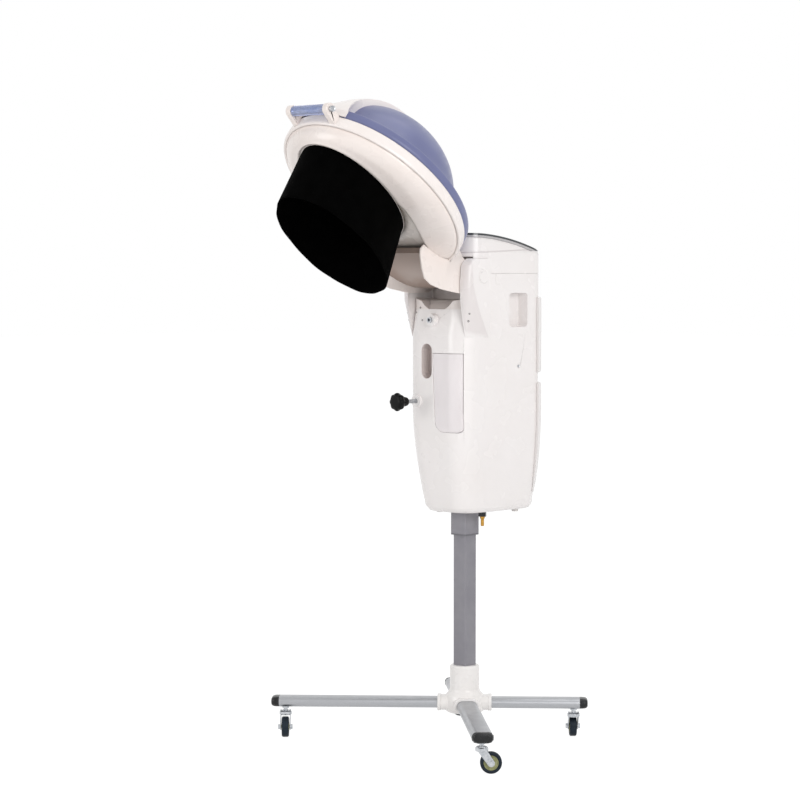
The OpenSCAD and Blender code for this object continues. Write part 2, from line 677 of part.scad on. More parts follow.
module key(i) on_panel(key_x[i], key_y) {
    translate([0, 0, -panel_t + 2]) cylinder(r = key_r, h = panel_t);
    translate([0, 0, 1.9]) cylinder(r1 = key_r, r2 = key_r - 1, h = 0.8);
}
module power_key() color("#c9ccd0") key(0);
module time_key() color("#c9ccd0") key(1);
module heat_key() color("#c9ccd0") key(2);

// Water, steam and electrics

valve_y = -tower_front + bottle_d;
module water_bottle() {
    color("#d9dde2") difference() {
        bottle_form(0);
        intersection() {
            bottle_form(-bottle_wall);
            translate([-200, -200, bottle_z + bottle_wall]) cube([400, 400, bottle_h - 2 * bottle_wall]);
        }
        translate([feed_x, valve_y - 5, feed_z]) rotate([-90, 0, 0]) cylinder(r = 8, h = 20);
    }
}
module bottle_valve() color("#4a7fb0") translate([feed_x, valve_y - 10, feed_z]) rotate([-90, 0, 0]) {
    cylinder(r = 8, h = 14);
    cylinder(r = 11, h = 8);
    cylinder(r = 4, h = 20);
}
module valve_seat() color("#5b5f66") translate([feed_x, valve_y, feed_z]) rotate([-90, 0, 0]) difference() {
    translate([0, 0, bottle_gap + pocket_wall]) cylinder(r = 14, h = 12);
    translate([0, 0, -1]) cylinder(r = 8.5, h = 8);
    cylinder(r = 4.6, h = 40);
}
feed_y0 = valve_y + bottle_gap + pocket_wall + 12;
feed_r = 7;
feed_y1 = boiler_y - sqrt(pow(boiler_r, 2) - pow(feed_x - feed_r, 2)) - 1;
module feed_pipe() color("#c8b9a0") translate([feed_x, feed_y0, feed_z]) rotate([-90, 0, 0]) difference() {
    cylinder(r = feed_r, h = feed_y1 - feed_y0);
    translate([0, 0, -1]) cylinder(r = 4.5, h = feed_y1 - feed_y0 + 2);
}
boiler_top = shelf_z + boiler_h;
module boiler() {
    color("#c9cdd1") translate([0, boiler_y, 0]) difference() {
        union() {
            rotate_extrude() polygon([[0, shelf_z], [boiler_r, shelf_z], [boiler_r, boiler_top - 12],
                [boiler_r - 6, boiler_top - 4], [boiler_r - 18, boiler_top], [14, boiler_top],
                    [14, boiler_top + 16], [0, boiler_top + 16]]);
            translate([feed_x, feed_y1 - boiler_y, feed_z]) rotate([-90, 0, 0])
                cylinder(r = feed_r - 0.2, h = 20);
        }
        rotate_extrude() polygon([[0, shelf_z + boiler_wall], [boiler_r - boiler_wall, shelf_z + boiler_wall],
            [boiler_r - boiler_wall, boiler_top - 13], [boiler_r - 8, boiler_top - 6],
                [boiler_r - 19, boiler_top - 2],
            [11, boiler_top - 2], [11, boiler_top + 20], [0, boiler_top + 20]]);
        for (x = [-20, 20]) translate([x, 0, shelf_z - 5]) cylinder(r = 4.1, h = 12);
        translate([feed_x, feed_y1 - boiler_y - 1, feed_z]) rotate([-90, 0, 0]) cylinder(r = 4, h = 30);
    }
}
module heating_element() color("#8b6b4a") translate([0, boiler_y, 0]) {
    for (x = [-20, 20]) translate([x, 0, shelf_z - 14]) cylinder(r = 4, h = 34);
    for (x = [-20, 20]) translate([x, 0, shelf_z - 6]) cylinder(r = 6, h = 6);
    translate([0, 0, shelf_z + 20]) rotate([90, 0, 0]) rotate_extrude(angle = 180) translate([20, 0])
        circle(r = 4);
}

// The steam hose climbs from the boiler, over the sleeve, to the tilt axis.
hose_r = 13;
hose_y0 = boiler_y;
hose_z0 = boiler_top + 16;
hose_bend = 60;
hose_y1 = 6 - tilt_y;
hose_wall = 3;
module hose_run(r, past) {
    translate([0, hose_y0, hose_z0 - past]) cylinder(r = r, h = tilt_z - hose_bend - hose_z0 + past);
    translate([0, hose_y0 - hose_bend, tilt_z - hose_bend]) rotate([90, 0, 90])
        rotate_extrude(angle = 90) translate([hose_bend, 0]) circle(r = r);
    translate([0, hose_y1 - past, tilt_z]) rotate([-90, 0, 0])
        cylinder(r = r, h = hose_y0 - hose_bend - hose_y1 + past);
}
module steam_hose() color("#b9b4a8") difference() {
    hose_run(hose_r, 0);
    hose_run(hose_r - hose_wall, 1);
}
module control_board() color("#2f6b45") {
    translate([-board_w / 2, chassis_y + chassis_t + 6, board_z]) cube([board_w, 1.6, board_h]);
    for (x = [-40, 40]) for (z = [8, board_h - 8]) translate([x, chassis_y + chassis_t, board_z + z])
        rotate([-90, 0, 0]) cylinder(r = 3, h = 6.01);
    translate([-30, chassis_y + chassis_t + 7.6, board_z + 30]) cube([34, 26, 30]);
    translate([14, chassis_y + chassis_t + 7.6, board_z + 20]) cube([20, 14, 40]);
}
inlet_z = 715;
inlet_y = tower_rear - rear_share * draw_in(inlet_z + 15) + cover_proud;
module mains_inlet() {
    color("#1c1d1f") difference() {
        union() {
            translate([-24.5, inlet_y - 26, inlet_z - 14.5]) cube([49, 27, 29]);
            translate([-28, inlet_y, inlet_z - 18]) cube([56, 2, 36]);
        }
        translate([-14, inlet_y - 17, inlet_z - 9]) cube([28, 20, 18]);
    }
    color("#1c1d1f") for (x = [-7, 0, 7]) translate([x - 1, inlet_y - 17.5,
        inlet_z - 2 + (x == 0 ? 3 : 0)]) cube([2, 13, 4]);
}
module drain_nut() color("#1b1b1d") difference() {
    translate([drain_x, 0, tower_bottom - 11]) cylinder(r = 10, h = 11, $fn = 6);
    translate([drain_x, 0, tower_bottom - 20]) cylinder(r = 6, h = 40);
}
module drain_tail() color("#b88a3a") translate([drain_x, 0, 0]) difference() {
    rotate_extrude() polygon([[0, tower_bottom - 34], [3.6, tower_bottom - 34], [4, tower_bottom - 32],
        [4, tower_bottom - 18], [6, tower_bottom - 14], [6, tower_bottom + 20], [0, tower_bottom + 20]]);
    translate([0, 0, tower_bottom - 40]) cylinder(r = 2.4, h = 80);
}

// The height clamp

module clamp_block() {
    color("#7d8085") difference() {
        translate([-knob_x - 16, -sleeve_w / 2 - clamp_wall, knob_z - 20])
            cube([knob_x + 16 + sleeve_w / 2 + clamp_wall, sleeve_w + 2 * clamp_wall, 40]);
        translate([0, 0, knob_z - 30]) linear_extrude(60) polygon(square_outline(sleeve_w, 4));
        translate([-knob_x - 30, -1.5, knob_z - 30]) cube([knob_x + 10, 3, 60]);
        translate([-knob_x, 60, knob_z]) rotate([90, 0, 0]) cylinder(r = stud_r + 0.08, h = 160);
    }
}
knob_back = knob_boss_y + 14;
knob_front = knob_back + 43;
module knob_head() {
    color("#0f0f10") translate([-knob_x, 0, knob_z]) difference() {
        union() {
            translate([0, -knob_back, 0]) rotate([90, 0, 0]) cylinder(r1 = 10, r2 = 12,
                h = knob_front - knob_back);
            translate([0, -knob_front + 1, 0]) rotate([90, 0, 0]) {
                cylinder(r = knob_r - 4.5, h = knob_t);
                for (i = [0:knob_lobes - 1]) rotate(360 * i / knob_lobes) translate([knob_r - 5.5, 0, 0])
                    cylinder(r = 5.5, h = knob_t);
            }
        }
        rotate([90, 0, 0]) cylinder(r = stud_r, h = knob_front + knob_t - 6);
    }
}
module knob_stud() color("#b8babd") translate([-knob_x, 20, knob_z]) rotate([90, 0, 0])
    cylinder(r = stud_r, h = 20 + knob_front + knob_t - 6);
module stop_pin() color("#aeb2b0") translate([-5, -tower_front + 19.5, saddle_z - 26]) rotate([90, 0, 0])
    difference() {
    cylinder(r = 7, h = 30);
    translate([0, 0, 20]) cylinder(r = 4, h = 11);
}
module tilt_pins() color("#b8babd") both_sides() translate([neck_hw - 18, -tilt_y, tilt_z]) rotate([0, 90, 0])
    cylinder(r = pin_r, h = cheek_hw - neck_hw + 18);
module pivot_caps() color("#f1edeb") both_sides() translate([cheek_hw, -tilt_y, tilt_z]) rotate([0, 90, 0])
    cylinder(r1 = pivot_cap_r, r2 = pivot_cap_r - 2, h = 2.5);

// The hood. Its own frame has +Z along the dome and -Y towards the handle.

module in_hood() translate([0, -hood_y, hood_z]) rotate([-hood_tilt, 0, 0]) children();
half_hoop = hoop_h / 2;
oval_n = 48;
function oval(rx, ry, y, z, wave = 0) = [for (i = [0:oval_n - 1])
    let (a = 360 * i / oval_n, w = wave * cos(skirt_folds * a))
    [(rx + w) * cos(a), y + (ry + w) * sin(a), z]];
// A ring at a distance inside the hoop's outer edge
function hoop_ring(d, z) = oval(hood_hw - d, hood_hl - d, 0, z);
function flat(ring) = [for (p = ring) [p[0], p[1]]];

// A closed skin whose last ring joins its first, as a hollow band.
module loft_band(rings) {
    n = len(rings[0]);
    m = len(rings);
    points = [for (r = rings) for (p = r) p];
    polyhedron(points, [for (k = [0:m - 1]) for (i = [0:n - 1])
        let (a = k * n + i, b = k * n + (i + 1) % n, c = ((k + 1) % m) * n + i,
            d = ((k + 1) % m) * n + (i + 1) % n)
        each [[a, c, d], [a, d, b]]]);
}

// Half width, half length, offset and height of the funnel's outer rings, from the opening to the hoop
funnel_path = [[opening_hw - 2, opening_hl - 2, -opening_y, -opening_z + 1],
    [opening_hw, opening_hl, -opening_y, -opening_z - 0.5], [opening_hw + 7, opening_hl + 6.5,
        -opening_y + 4, -opening_z - 1.5],
    [opening_hw + 21, opening_hl + 18.5, -opening_y + 12, -opening_z + 2],
        [opening_hw + 48, opening_hl + 42.5, -opening_y + 29, -opening_z + 8],
    [hood_hw - 27, hood_hl - 24.5, -10, -half_hoop - 15], [hood_hw - 12, hood_hl - 12.5, -2, -half_hoop - 5],
    [hood_hw - 8, hood_hl - 8, 0, -half_hoop]];
lip_in = 4;
module funnel() loft([for (p = funnel_path) oval(p[0], p[1], p[2], p[3])]);
module funnel_hollow() loft(concat(
    [oval(opening_hw - lip_in, opening_hl - lip_in, -opening_y, -opening_z - 20),
        oval(opening_hw - lip_in, opening_hl - lip_in, -opening_y, -opening_z + 2.5)],
    [for (i = [3:len(funnel_path) - 2]) let (p = funnel_path[i])
        oval(p[0] - hood_wall, p[1] - hood_wall, p[2], p[3] + hood_wall)],
    [oval(hood_hw - 8 - hood_wall, hood_hl - 8 - hood_wall, 0, -half_hoop + 1)]));

neck_side = concat(arc(-tilt_y, tilt_z, 40, -95, 95, 10),
    [[-90, 1163], [-100, 1172], [-108, 1186], [-160, 1200], [-225, 1205], [-243, 1190], [-244, 1176],
        [-238, 1145],
        [-228, 1121], [-207, 1106], [-175, 1096], [-136, 1089], [-104, 1084.5]]);
neck_roof = [[-62, 1164.8], [-90, 1163], [-100, 1172], [-108, 1186], [-140, 1186], [-150, 1150], [-140, 1140],
    [-118, 1142], [-90, 1158], [-62, 1160]];
pan_line = [[-233.5, 1192.5], [-240, 1180], [-228, 1163], [-210, 1146], [-185, 1130], [-155, 1116],
    [-120, 1104], [-92, 1098]];
pan_t = 3;
steam_way_w = 80;
steam_way_y = -196;
steam_way_z = 1140;
module neck_wall() translate([neck_hw - hood_wall, 0, 0]) rotate([90, 0, 90]) linear_extrude(hood_wall)
    polygon(neck_side);
module hood_frame() {
    color("#f0ebe8") difference() {
        union() {
            in_hood() funnel();
            both_sides() neck_wall();
            translate([-neck_hw + 1, 0, 0]) rotate([90, 0, 90]) linear_extrude(2 * neck_hw - 2)
                polygon(neck_roof);
            both_sides() translate([neck_hw - 22, -tilt_y, tilt_z]) rotate([0, 90, 0])
                cylinder(r = 20, h = 21);
        }
        in_hood() funnel_hollow();
        in_hood() translate([0, 0, -half_hoop]) linear_extrude(200) polygon(flat(hoop_ring(-seat, 0)));
        translate([0, -tilt_y, tilt_z]) rotate([0, 90, 0]) cylinder(r = pin_r + 0.08, h = 2 * neck_hw + 2,
            center = true);
        // The steam's way from the neck into the hood
        translate([-steam_way_w / 2, steam_way_y, steam_way_z]) cube([steam_way_w, 20, steam_way_w / 2]);
    }
}
module neck_pan() {
    color("#cfc6bd") translate([-neck_hw + hood_wall + 0.1, 0, 0]) rotate([90, 0, 90])
        linear_extrude(2 * (neck_hw - hood_wall) - 0.2)
        polygon(concat(pan_line, [for (i = [len(pan_line) - 1:-1:0])
            pan_line[i] + [i < 2 ? pan_t : 0.8, pan_t - (i < 2 ? 3 : 0)]]));
}

module rim_hoop() {
    color("#f1edea") in_hood() loft_band([for (v = [[20, -half_hoop], [3, -half_hoop],
        [0.6, -half_hoop + 2], [0, -half_hoop + 5],
        [0, half_hoop - 6], [1.5, half_hoop - 2], [5, half_hoop], [34, half_hoop], [34, half_hoop - 4],
        [20, half_hoop - 4]]) hoop_ring(v[0], v[1])]);
}

// The dome's rings, from the flange to the crown, moved out by a margin.
dome_base = 45;
dome_flare = [[4, 4, half_hoop + seat], [1, 1, 20], [1, 1, 30], [4, 4, 35.5], [19, 21, 40.5], [40, 44, 47.5],
    [54, 60, 58]];
dome_steps = [12, 24, 36, 47, 58, 68, 77, 85];
function dome_rings(m, first = 0) = concat(
    [for (i = [first:len(dome_flare) - 1]) let (v = dome_flare[i])
        oval(hood_hw - v[0] + m, hood_hl - v[1] + m, 0, v[2] + (i > 2 ? m * 0.6 : 0))],
    [for (a = dome_steps) oval((dome_hw + m) * cos(a), (dome_hl + m) * cos(a), 0,
        dome_base + (dome_h - dome_base + m) * sin(a))]);
module outer_dome() {
    color("#7f87b8") in_hood() difference() {
        loft(dome_rings(0));
        loft(concat([hoop_ring(4 + dome_wall, half_hoop), hoop_ring(1 + dome_wall, 20),
            hoop_ring(1 + dome_wall, 29)],
            dome_rings(-dome_wall, 3)));
    }
}
crest_front = 112;
crest_back = 20;
crest_curve = 2.5;
crest_taper = 104;
crest_wall = 3;
crest_over = 4;
// Half width, half length, offset and height of the crest's rings: its front bridges the dome's flare.
crest_form = [[219, 255.5, 0, half_hoop], [219, 255.5, 0, 31], [214, 250.5, 0, 37], [204, 241.5, -2.5, 46],
    [190, 224, -12, 58], [178, 208, -14, 76], [169, 195.5, -9.5, 98], [154, 179.5, -7.5, 120],
        [138, 163.5, -6, 138],
    [118, 143, -6, 155], [98, 122.5, -6.5, 169], [76, 99, -7, 181], [54, 74, -8, 190], [34, 50, -8, 196],
    [16, 27.5, -7.5, 200]];
crest_low = half_hoop + 0.6;
crest_deep = 50;
function crest_rings(m) = [for (v = crest_form) oval(v[0] + m, v[1] + m, v[2],
    v[3] + m * max(0, (v[3] - 40) / 160))];
function crest_plan(m) = let (side = [for (i = [0:8]) let (t = i / 8)
    [crest_back + (crest_front - crest_back) * pow(1 - t, crest_curve) - m,
        crest_taper * t - hood_hl - crest_over + m]])
    concat(side, [[crest_back - m, 235 - m], [m - crest_back, 235 - m]],
        [for (i = [8:-1:0]) [-side[i][0], side[i][1]]]);
module dome_crest() {
    color("#e6e4e6") in_hood() difference() {
        intersection() {
            loft(crest_rings(0));
            linear_extrude(300) polygon(crest_plan(0));
        }
        loft(dome_rings(seat));
        translate([0, 0, crest_low - crest_deep]) cylinder(r = 400, h = crest_deep);
        intersection() {
            loft(crest_rings(-crest_wall));
            linear_extrude(300) polygon(crest_plan(crest_wall));
        }
    }
}
bowl_hw = 148;
bowl_hl = 174;
bowl_h = 168;
bowl_wall = 3;
bowl_z = half_hoop - 4.2;
function bowl_rings(m) = [for (a = [0, 15, 30, 45, 57, 68, 78, 86])
    oval((bowl_hw + m) * cos(a), (bowl_hl + m) * cos(a), 0, 16 + (bowl_h - 16 + m) * sin(a))];
module inner_bowl() {
    color("#e9e6e4") in_hood() difference() {
        loft(concat([hoop_ring(20.2, bowl_z - 3), hoop_ring(20.2, bowl_z),
            oval(bowl_hw + 6, bowl_hl + 6, 0, bowl_z + 0.2)], bowl_rings(0)));
        loft(concat([oval(bowl_hw + 6, bowl_hl + 6, 0, bowl_z - 4),
            oval(bowl_hw + 2, bowl_hl + 2, 0, bowl_z)], bowl_rings(-bowl_wall)));
    }
}

// Share of the drop for each of the skirt's rings, under a short straight collar
skirt_steps = [1, 0.8, 0.6, 0.4, 0.2, 0];
function skirt_ring(t, m) = oval(opening_hw - lip_in - seat + 11 * t - m,
    opening_hl - lip_in - seat + 10 * t - m,
    -opening_y + skirt_lean * t, -opening_z - 3 - (skirt_drop - 3) * t, fold_depth * pow(t, 1.5));
module steam_skirt() {
    color("#0a0a0b") in_hood() difference() {
        loft(concat([for (t = skirt_steps) skirt_ring(t, 0)], [[for (p = skirt_ring(0, 0)) p + [0, 0, 8]]]));
        loft(concat([[for (p = skirt_ring(1, skirt_t)) p - [0, 0, 5]]],
            [for (t = skirt_steps) skirt_ring(t, skirt_t)], [[for (p = skirt_ring(0, skirt_t))
                p + [0, 0, 9]]]));
    }
}

grip_z = 7;
bracket_rim = 2;
module handle_brackets() {
    color("#f1edea") in_hood() difference() {
        both_sides() translate([grip_l / 2, 0, 0]) difference() {
            union() {
                translate([0, -grip_reach, grip_z]) rotate([0, 90, 0])
                    cylinder(r = grip_r + bracket_rim, h = bracket_t);
                rotate([90, 0, 90]) linear_extrude(bracket_t)
                    polygon([[-grip_reach, grip_z - grip_r - bracket_rim], [-hood_hl + 22, -half_hoop + 1],
                        [-hood_hl + 22, half_hoop - 1], [-hood_hl - 4, half_hoop - 1],
                        [-grip_reach, grip_z + grip_r + bracket_rim]]);
            }
            translate([-1, -grip_reach, grip_z]) rotate([0, 90, 0]) cylinder(r = 5, h = bracket_t + 2);
        }
        translate([0, 0, -100]) linear_extrude(200) polygon(flat(hoop_ring(0, 0)));
    }
}
module handle_grip() color("#8fa4d8") in_hood() {
    translate([0, -grip_reach, grip_z]) rotate([0, 90, 0]) cylinder(r = grip_r, h = grip_l, center = true);
    translate([0, -grip_reach, grip_z]) rotate([0, 90, 0]) cylinder(r = 5, h = grip_l + 2 * bracket_t + 6,
        center = true);
}

base_hub();
leg_front_far();
leg_front_near();
leg_rear_near();
leg_rear_far();
leg_end_caps();
caster_stems();
inner_column();
caster_fork_1();
caster_fork_2();
caster_fork_3();
caster_fork_4();
wheel_core_1();
wheel_core_2();
wheel_core_3();
wheel_core_4();
wheel_tyre_1();
wheel_tyre_2();
wheel_tyre_3();
wheel_tyre_4();
column_sleeve();
sleeve_bush();
chassis();
body_shell();
upper_rear_cover();
lower_rear_cover();
top_cap();
control_panel();
display_window();
power_key();
time_key();
heat_key();
water_bottle();
bottle_valve();
valve_seat();
feed_pipe();
boiler();
heating_element();
steam_hose();
control_board();
mains_inlet();
drain_nut();
drain_tail();
clamp_block();
knob_head();
knob_stud();
stop_pin();
tilt_pins();
pivot_caps();
foot_pads();
hood_frame();
neck_pan();
rim_hoop();
outer_dome();
dome_crest();
inner_bowl();
steam_skirt();
handle_brackets();
handle_grip();
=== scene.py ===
# %% [markdown]
# # A hair steamer on a wheeled stand
# The steamer has been drawn as separate solids in a CAD program and packed as one fixed frame.
# Here the frame is loaded, and its pieces get finer surfaces and the finishes of the real things:
# glossy moulded ABS, tinted polycarbonate, brushed alloy, powder paint, rubber and black vinyl.
# Nothing is moved, so every finer piece is made where its solid already is.

# %% Load the fixed frame
import json
import math
import bmesh
import bpy
import numpy as np
from mathutils import Matrix, Vector
from mathutils.bvhtree import BVHTree

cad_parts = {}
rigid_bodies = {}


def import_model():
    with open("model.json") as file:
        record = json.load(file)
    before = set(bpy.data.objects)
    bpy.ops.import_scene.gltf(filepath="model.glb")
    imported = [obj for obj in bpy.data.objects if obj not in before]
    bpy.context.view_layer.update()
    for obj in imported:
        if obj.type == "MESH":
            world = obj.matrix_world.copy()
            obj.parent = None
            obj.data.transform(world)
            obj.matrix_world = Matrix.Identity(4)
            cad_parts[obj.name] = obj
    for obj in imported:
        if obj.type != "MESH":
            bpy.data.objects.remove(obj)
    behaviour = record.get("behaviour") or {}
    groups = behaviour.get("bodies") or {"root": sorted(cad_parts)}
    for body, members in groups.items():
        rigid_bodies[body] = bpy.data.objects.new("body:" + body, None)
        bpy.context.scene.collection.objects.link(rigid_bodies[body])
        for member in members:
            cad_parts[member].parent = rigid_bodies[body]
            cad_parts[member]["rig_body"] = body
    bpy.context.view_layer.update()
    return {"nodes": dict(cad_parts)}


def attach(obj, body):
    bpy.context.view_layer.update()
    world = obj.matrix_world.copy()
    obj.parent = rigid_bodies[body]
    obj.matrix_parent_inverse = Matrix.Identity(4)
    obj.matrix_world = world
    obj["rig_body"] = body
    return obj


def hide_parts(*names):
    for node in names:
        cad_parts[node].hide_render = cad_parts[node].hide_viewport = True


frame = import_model()
nodes = frame["nodes"]
MM = 0.001

# %% [markdown]
# ## The camera
# The steamer is seen from its front and right, from about chest height and from far away, so a long
# lens is used. The camera is tipped down by three degrees, which keeps the column nearly upright.

# %% Camera
camera_place = Vector((4.019, -4.3261, 1.1382))
turn, tip = math.radians(44.426), math.radians(3.037)
camera_data = bpy.data.cameras.new("steamer_camera")
camera_data.sensor_width = 36.0
camera_data.lens = 109.44
camera_data.clip_end = 60.0
camera = bpy.data.objects.new("steamer_camera", camera_data)
camera.matrix_world = (Matrix.Translation(camera_place) @ Matrix.Rotation(turn, 4, "Z")
                       @ Matrix.Rotation(math.pi / 2 - tip, 4, "X"))
bpy.context.scene.collection.objects.link(camera)
bpy.context.scene.camera = camera
print("camera", round(camera_place.length, 2), "m from the column's foot, lens", camera_data.lens)

# %% [markdown]
# ## Colours and nodes
# A shader works in linear light, while a colour picker gives sRGB hex values. One function turns one
# into the other. Another adds a node, sets its values and makes its links, so each finish below
# reads as a short recipe.

# %% Colour and node helpers
def linear(code):
    """An sRGB hex value such as #f3efee, as the linear colour that a socket wants."""
    parts = [int(code[i:i + 2], 16) / 255 for i in (1, 3, 5)]
    return tuple(c / 12.92 if c <= 0.04045 else ((c + 0.055) / 1.055) ** 2.4 for c in parts) + (1.0,)


def add(tree, kind, settings=None, values=None, links=None):
    """Adds one shader node with its settings, its socket values and its links."""
    node = tree.nodes.new("ShaderNode" + kind)
    for name, value in (settings or {}).items():
        setattr(node, name, value)
    for name, value in (values or {}).items():
        node.inputs[name].default_value = value
    for name, socket in (links or {}).items():
        tree.links.new(socket, node.inputs[name])
    return node


print("white ABS in linear light:", [round(c, 3) for c in linear("#f3efee")[:3]])

# %% [markdown]
# ## The room
# A white studio. The world shines evenly at a level where colours come out as they are written, and
# rays from the camera, from gloss and through clear plastic see plain white. Three large soft lamps
# shape the forms. The floor is white too and keeps part of the shadow.

# %% World, floor and lamps
world = bpy.data.worlds.new("white_studio")
world.use_nodes = True
bpy.context.scene.world = world
sky = world.node_tree
sky.nodes.clear()


def seen_directly(tree):
    """1 for rays from the camera, from gloss and through clear plastic, otherwise 0."""
    paths = add(tree, "LightPath")
    seen = add(tree, "Math", {"operation": "MAXIMUM"}, None,
               {0: paths.outputs["Is Camera Ray"], 1: paths.outputs["Is Glossy Ray"]})
    seen = add(tree, "Math", {"operation": "MAXIMUM"}, None,
               {0: seen.outputs[0], 1: paths.outputs["Is Transmission Ray"]})
    return seen.outputs[0]


level = add(sky, "MapRange", None, {"To Min": 0.6, "To Max": 1.0}, {"Value": seen_directly(sky)})
glow = add(sky, "Background", None, {"Color": (1.0, 1.0, 1.0, 1.0)}, {"Strength": level.outputs[0]})
add(sky, "OutputWorld", None, None, {"Surface": glow.outputs[0]})
middle_of_steamer = Vector((0.0, -0.1, 0.95))


def lamp(name, place, size, power):
    """A soft square lamp that looks at the middle of the steamer. size in m, power in W."""
    data = bpy.data.lights.new(name, "AREA")
    data.shape = "SQUARE"
    data.size = size
    data.energy = power
    lamp_object = bpy.data.objects.new(name, data)
    aim = (middle_of_steamer - Vector(place)).to_track_quat("-Z", "Y")
    lamp_object.matrix_world = Matrix.Translation(place) @ aim.to_matrix().to_4x4()
    bpy.context.scene.collection.objects.link(lamp_object)


lamp("key_softbox", (3.6, -1.4, 1.9), 1.8, 52)
lamp("front_softbox", (-1.2, -3.8, 1.6), 1.6, 26)
lamp("top_softbox", (0.6, 0.8, 4.2), 2.0, 20)

# The floor is white paper, bright where it is looked at and matt where it takes the shadow.
floor_half = 30.0
floor_bm = bmesh.new()
bmesh.ops.create_grid(floor_bm, x_segments=1, y_segments=1, size=floor_half)
floor_mesh = bpy.data.meshes.new("studio_floor")
floor_bm.to_mesh(floor_mesh)
floor_bm.free()
studio_floor = bpy.data.objects.new("studio_floor", floor_mesh)
bpy.context.scene.collection.objects.link(studio_floor)
paper = bpy.data.materials.new("white_paper_floor")
paper.use_nodes = True
tree = paper.node_tree
tree.nodes.clear()
glowing_share = 0.72
share = add(tree, "Math", {"operation": "MULTIPLY"}, {1: glowing_share}, {0: seen_directly(tree)})
matt = add(tree, "BsdfDiffuse", None, {"Color": (0.9, 0.9, 0.9, 1.0)})
bright = add(tree, "Emission", None, {"Color": (1.0, 1.0, 1.0, 1.0), "Strength": 1.25})
both = add(tree, "MixShader", None, None,
           {0: share.outputs[0], 1: matt.outputs[0], 2: bright.outputs[0]})
add(tree, "OutputMaterial", None, None, {"Surface": both.outputs[0]})
floor_mesh.materials.append(paper)
bpy.context.scene.view_settings.view_transform = "Standard"
print("room: 3 lamps and a floor")

# %% [markdown]
# ## What a finish is made of
# Every finish starts with one Principled shader. Three small additions give it the detail of a real
# surface: a faint change of colour, a change of gloss, and a relief that tilts the surface. Each
# takes the real size of its pattern in millimetres.
#
# A few finishes change at a place on the piece, such as a parting line or a crease. For them there
# are small tools for sums, ramps and tints, which read the place from Object coordinates.

# %% Parts of a finish
def start(name, colour, rough, **shader):
    """A new material with its shader, and the place on the object that its patterns read."""
    material = bpy.data.materials.new(name)
    material.use_nodes = True
    tree = material.node_tree
    tree.nodes.clear()
    values = {"Base Color": linear(colour), "Roughness": rough}
    values.update({key.replace("_", " "): value for key, value in shader.items()})
    surface = add(tree, "BsdfPrincipled", None, values)
    add(tree, "OutputMaterial", None, None, {"Surface": surface.outputs[0]})
    material.diffuse_color = linear(colour)
    return material, tree, surface


def pattern(tree, size, stretch=(1.0, 1.0, 1.0), turned=0.0, detail=3.0):
    """Noise with features of a size in millimetres, stretched and turned by a Mapping node."""
    place = add(tree, "TexCoord").outputs["Object"]
    mapping = add(tree, "Mapping", None,
                  {"Rotation": (0.0, 0.0, math.radians(turned)), "Scale": stretch}, {"Vector": place})
    return add(tree, "TexNoise", None, {"Scale": 1.0 / (size * MM), "Detail": detail},
               {"Vector": mapping.outputs[0]}).outputs["Fac"]


def mottle(tree, surface, colour, other, noise, low=0.35, high=0.65):
    """Two near colours that follow the noise."""
    share = add(tree, "MapRange", None, {"From Min": low, "From Max": high}, {"Value": noise})
    mix = add(tree, "Mix", {"data_type": "RGBA"}, {6: linear(colour), 7: linear(other)},
              {0: share.outputs[0]})
    tree.links.new(mix.outputs[2], surface.inputs["Base Color"])


def uneven_gloss(tree, surface, low, high, noise):
    """Roughness that drifts between two values."""
    drift = add(tree, "MapRange", None,
                {"From Min": 0.2, "From Max": 0.8, "To Min": low, "To Max": high}, {"Value": noise})
    tree.links.new(drift.outputs[0], surface.inputs["Roughness"])


def relief(tree, surface, depth, noise, under=None):
    """Bump of a depth in millimetres, on top of another bump if there is one."""
    bump = add(tree, "Bump", None, {"Strength": 1.0, "Distance": depth * MM}, {"Height": noise})
    if under is not None:
        tree.links.new(under.outputs[0], bump.inputs["Normal"])
    tree.links.new(bump.outputs[0], surface.inputs["Normal"])
    return bump


print("finish parts ready")

# %% Finishes that change at a place
def tint(tree, surface, colour, share):
    """Lays another colour over the surface's colour, as far as share says."""
    before = surface.inputs["Base Color"].links[0].from_socket
    mix = add(tree, "Mix", {"data_type": "RGBA"}, {7: linear(colour)}, {0: share, 6: before})
    tree.links.new(mix.outputs[2], surface.inputs["Base Color"])


def ramp(tree, value, start_at, end_at, top=1.0):
    """Rises from 0 to top while the value goes from start_at to end_at, in metres."""
    return add(tree, "MapRange", None, {"From Min": start_at, "From Max": end_at, "To Max": top},
               {"Value": value}).outputs[0]


def sum_of(tree, operation, a, b):
    """One Math node. a is a socket, b a socket or a number."""
    if isinstance(b, float):
        return add(tree, "Math", {"operation": operation}, {1: b}, {0: a}).outputs[0]
    return add(tree, "Math", {"operation": operation}, None, {0: a, 1: b}).outputs[0]


def place_on(tree):
    """The outputs X, Y and Z of the place on the piece, in metres."""
    place = add(tree, "TexCoord").outputs["Object"]
    return add(tree, "SeparateXYZ", None, None, {"Vector": place}).outputs


def shader_of(material):
    """A finish's Principled shader."""
    return next(n for n in material.node_tree.nodes if n.type == "BSDF_PRINCIPLED")


def copied(material, name):
    """A copy of a finish under a new name, with its tree and shader."""
    twin = material.copy()
    twin.name = name
    return twin, twin.node_tree, shader_of(twin)


print("place tools ready")
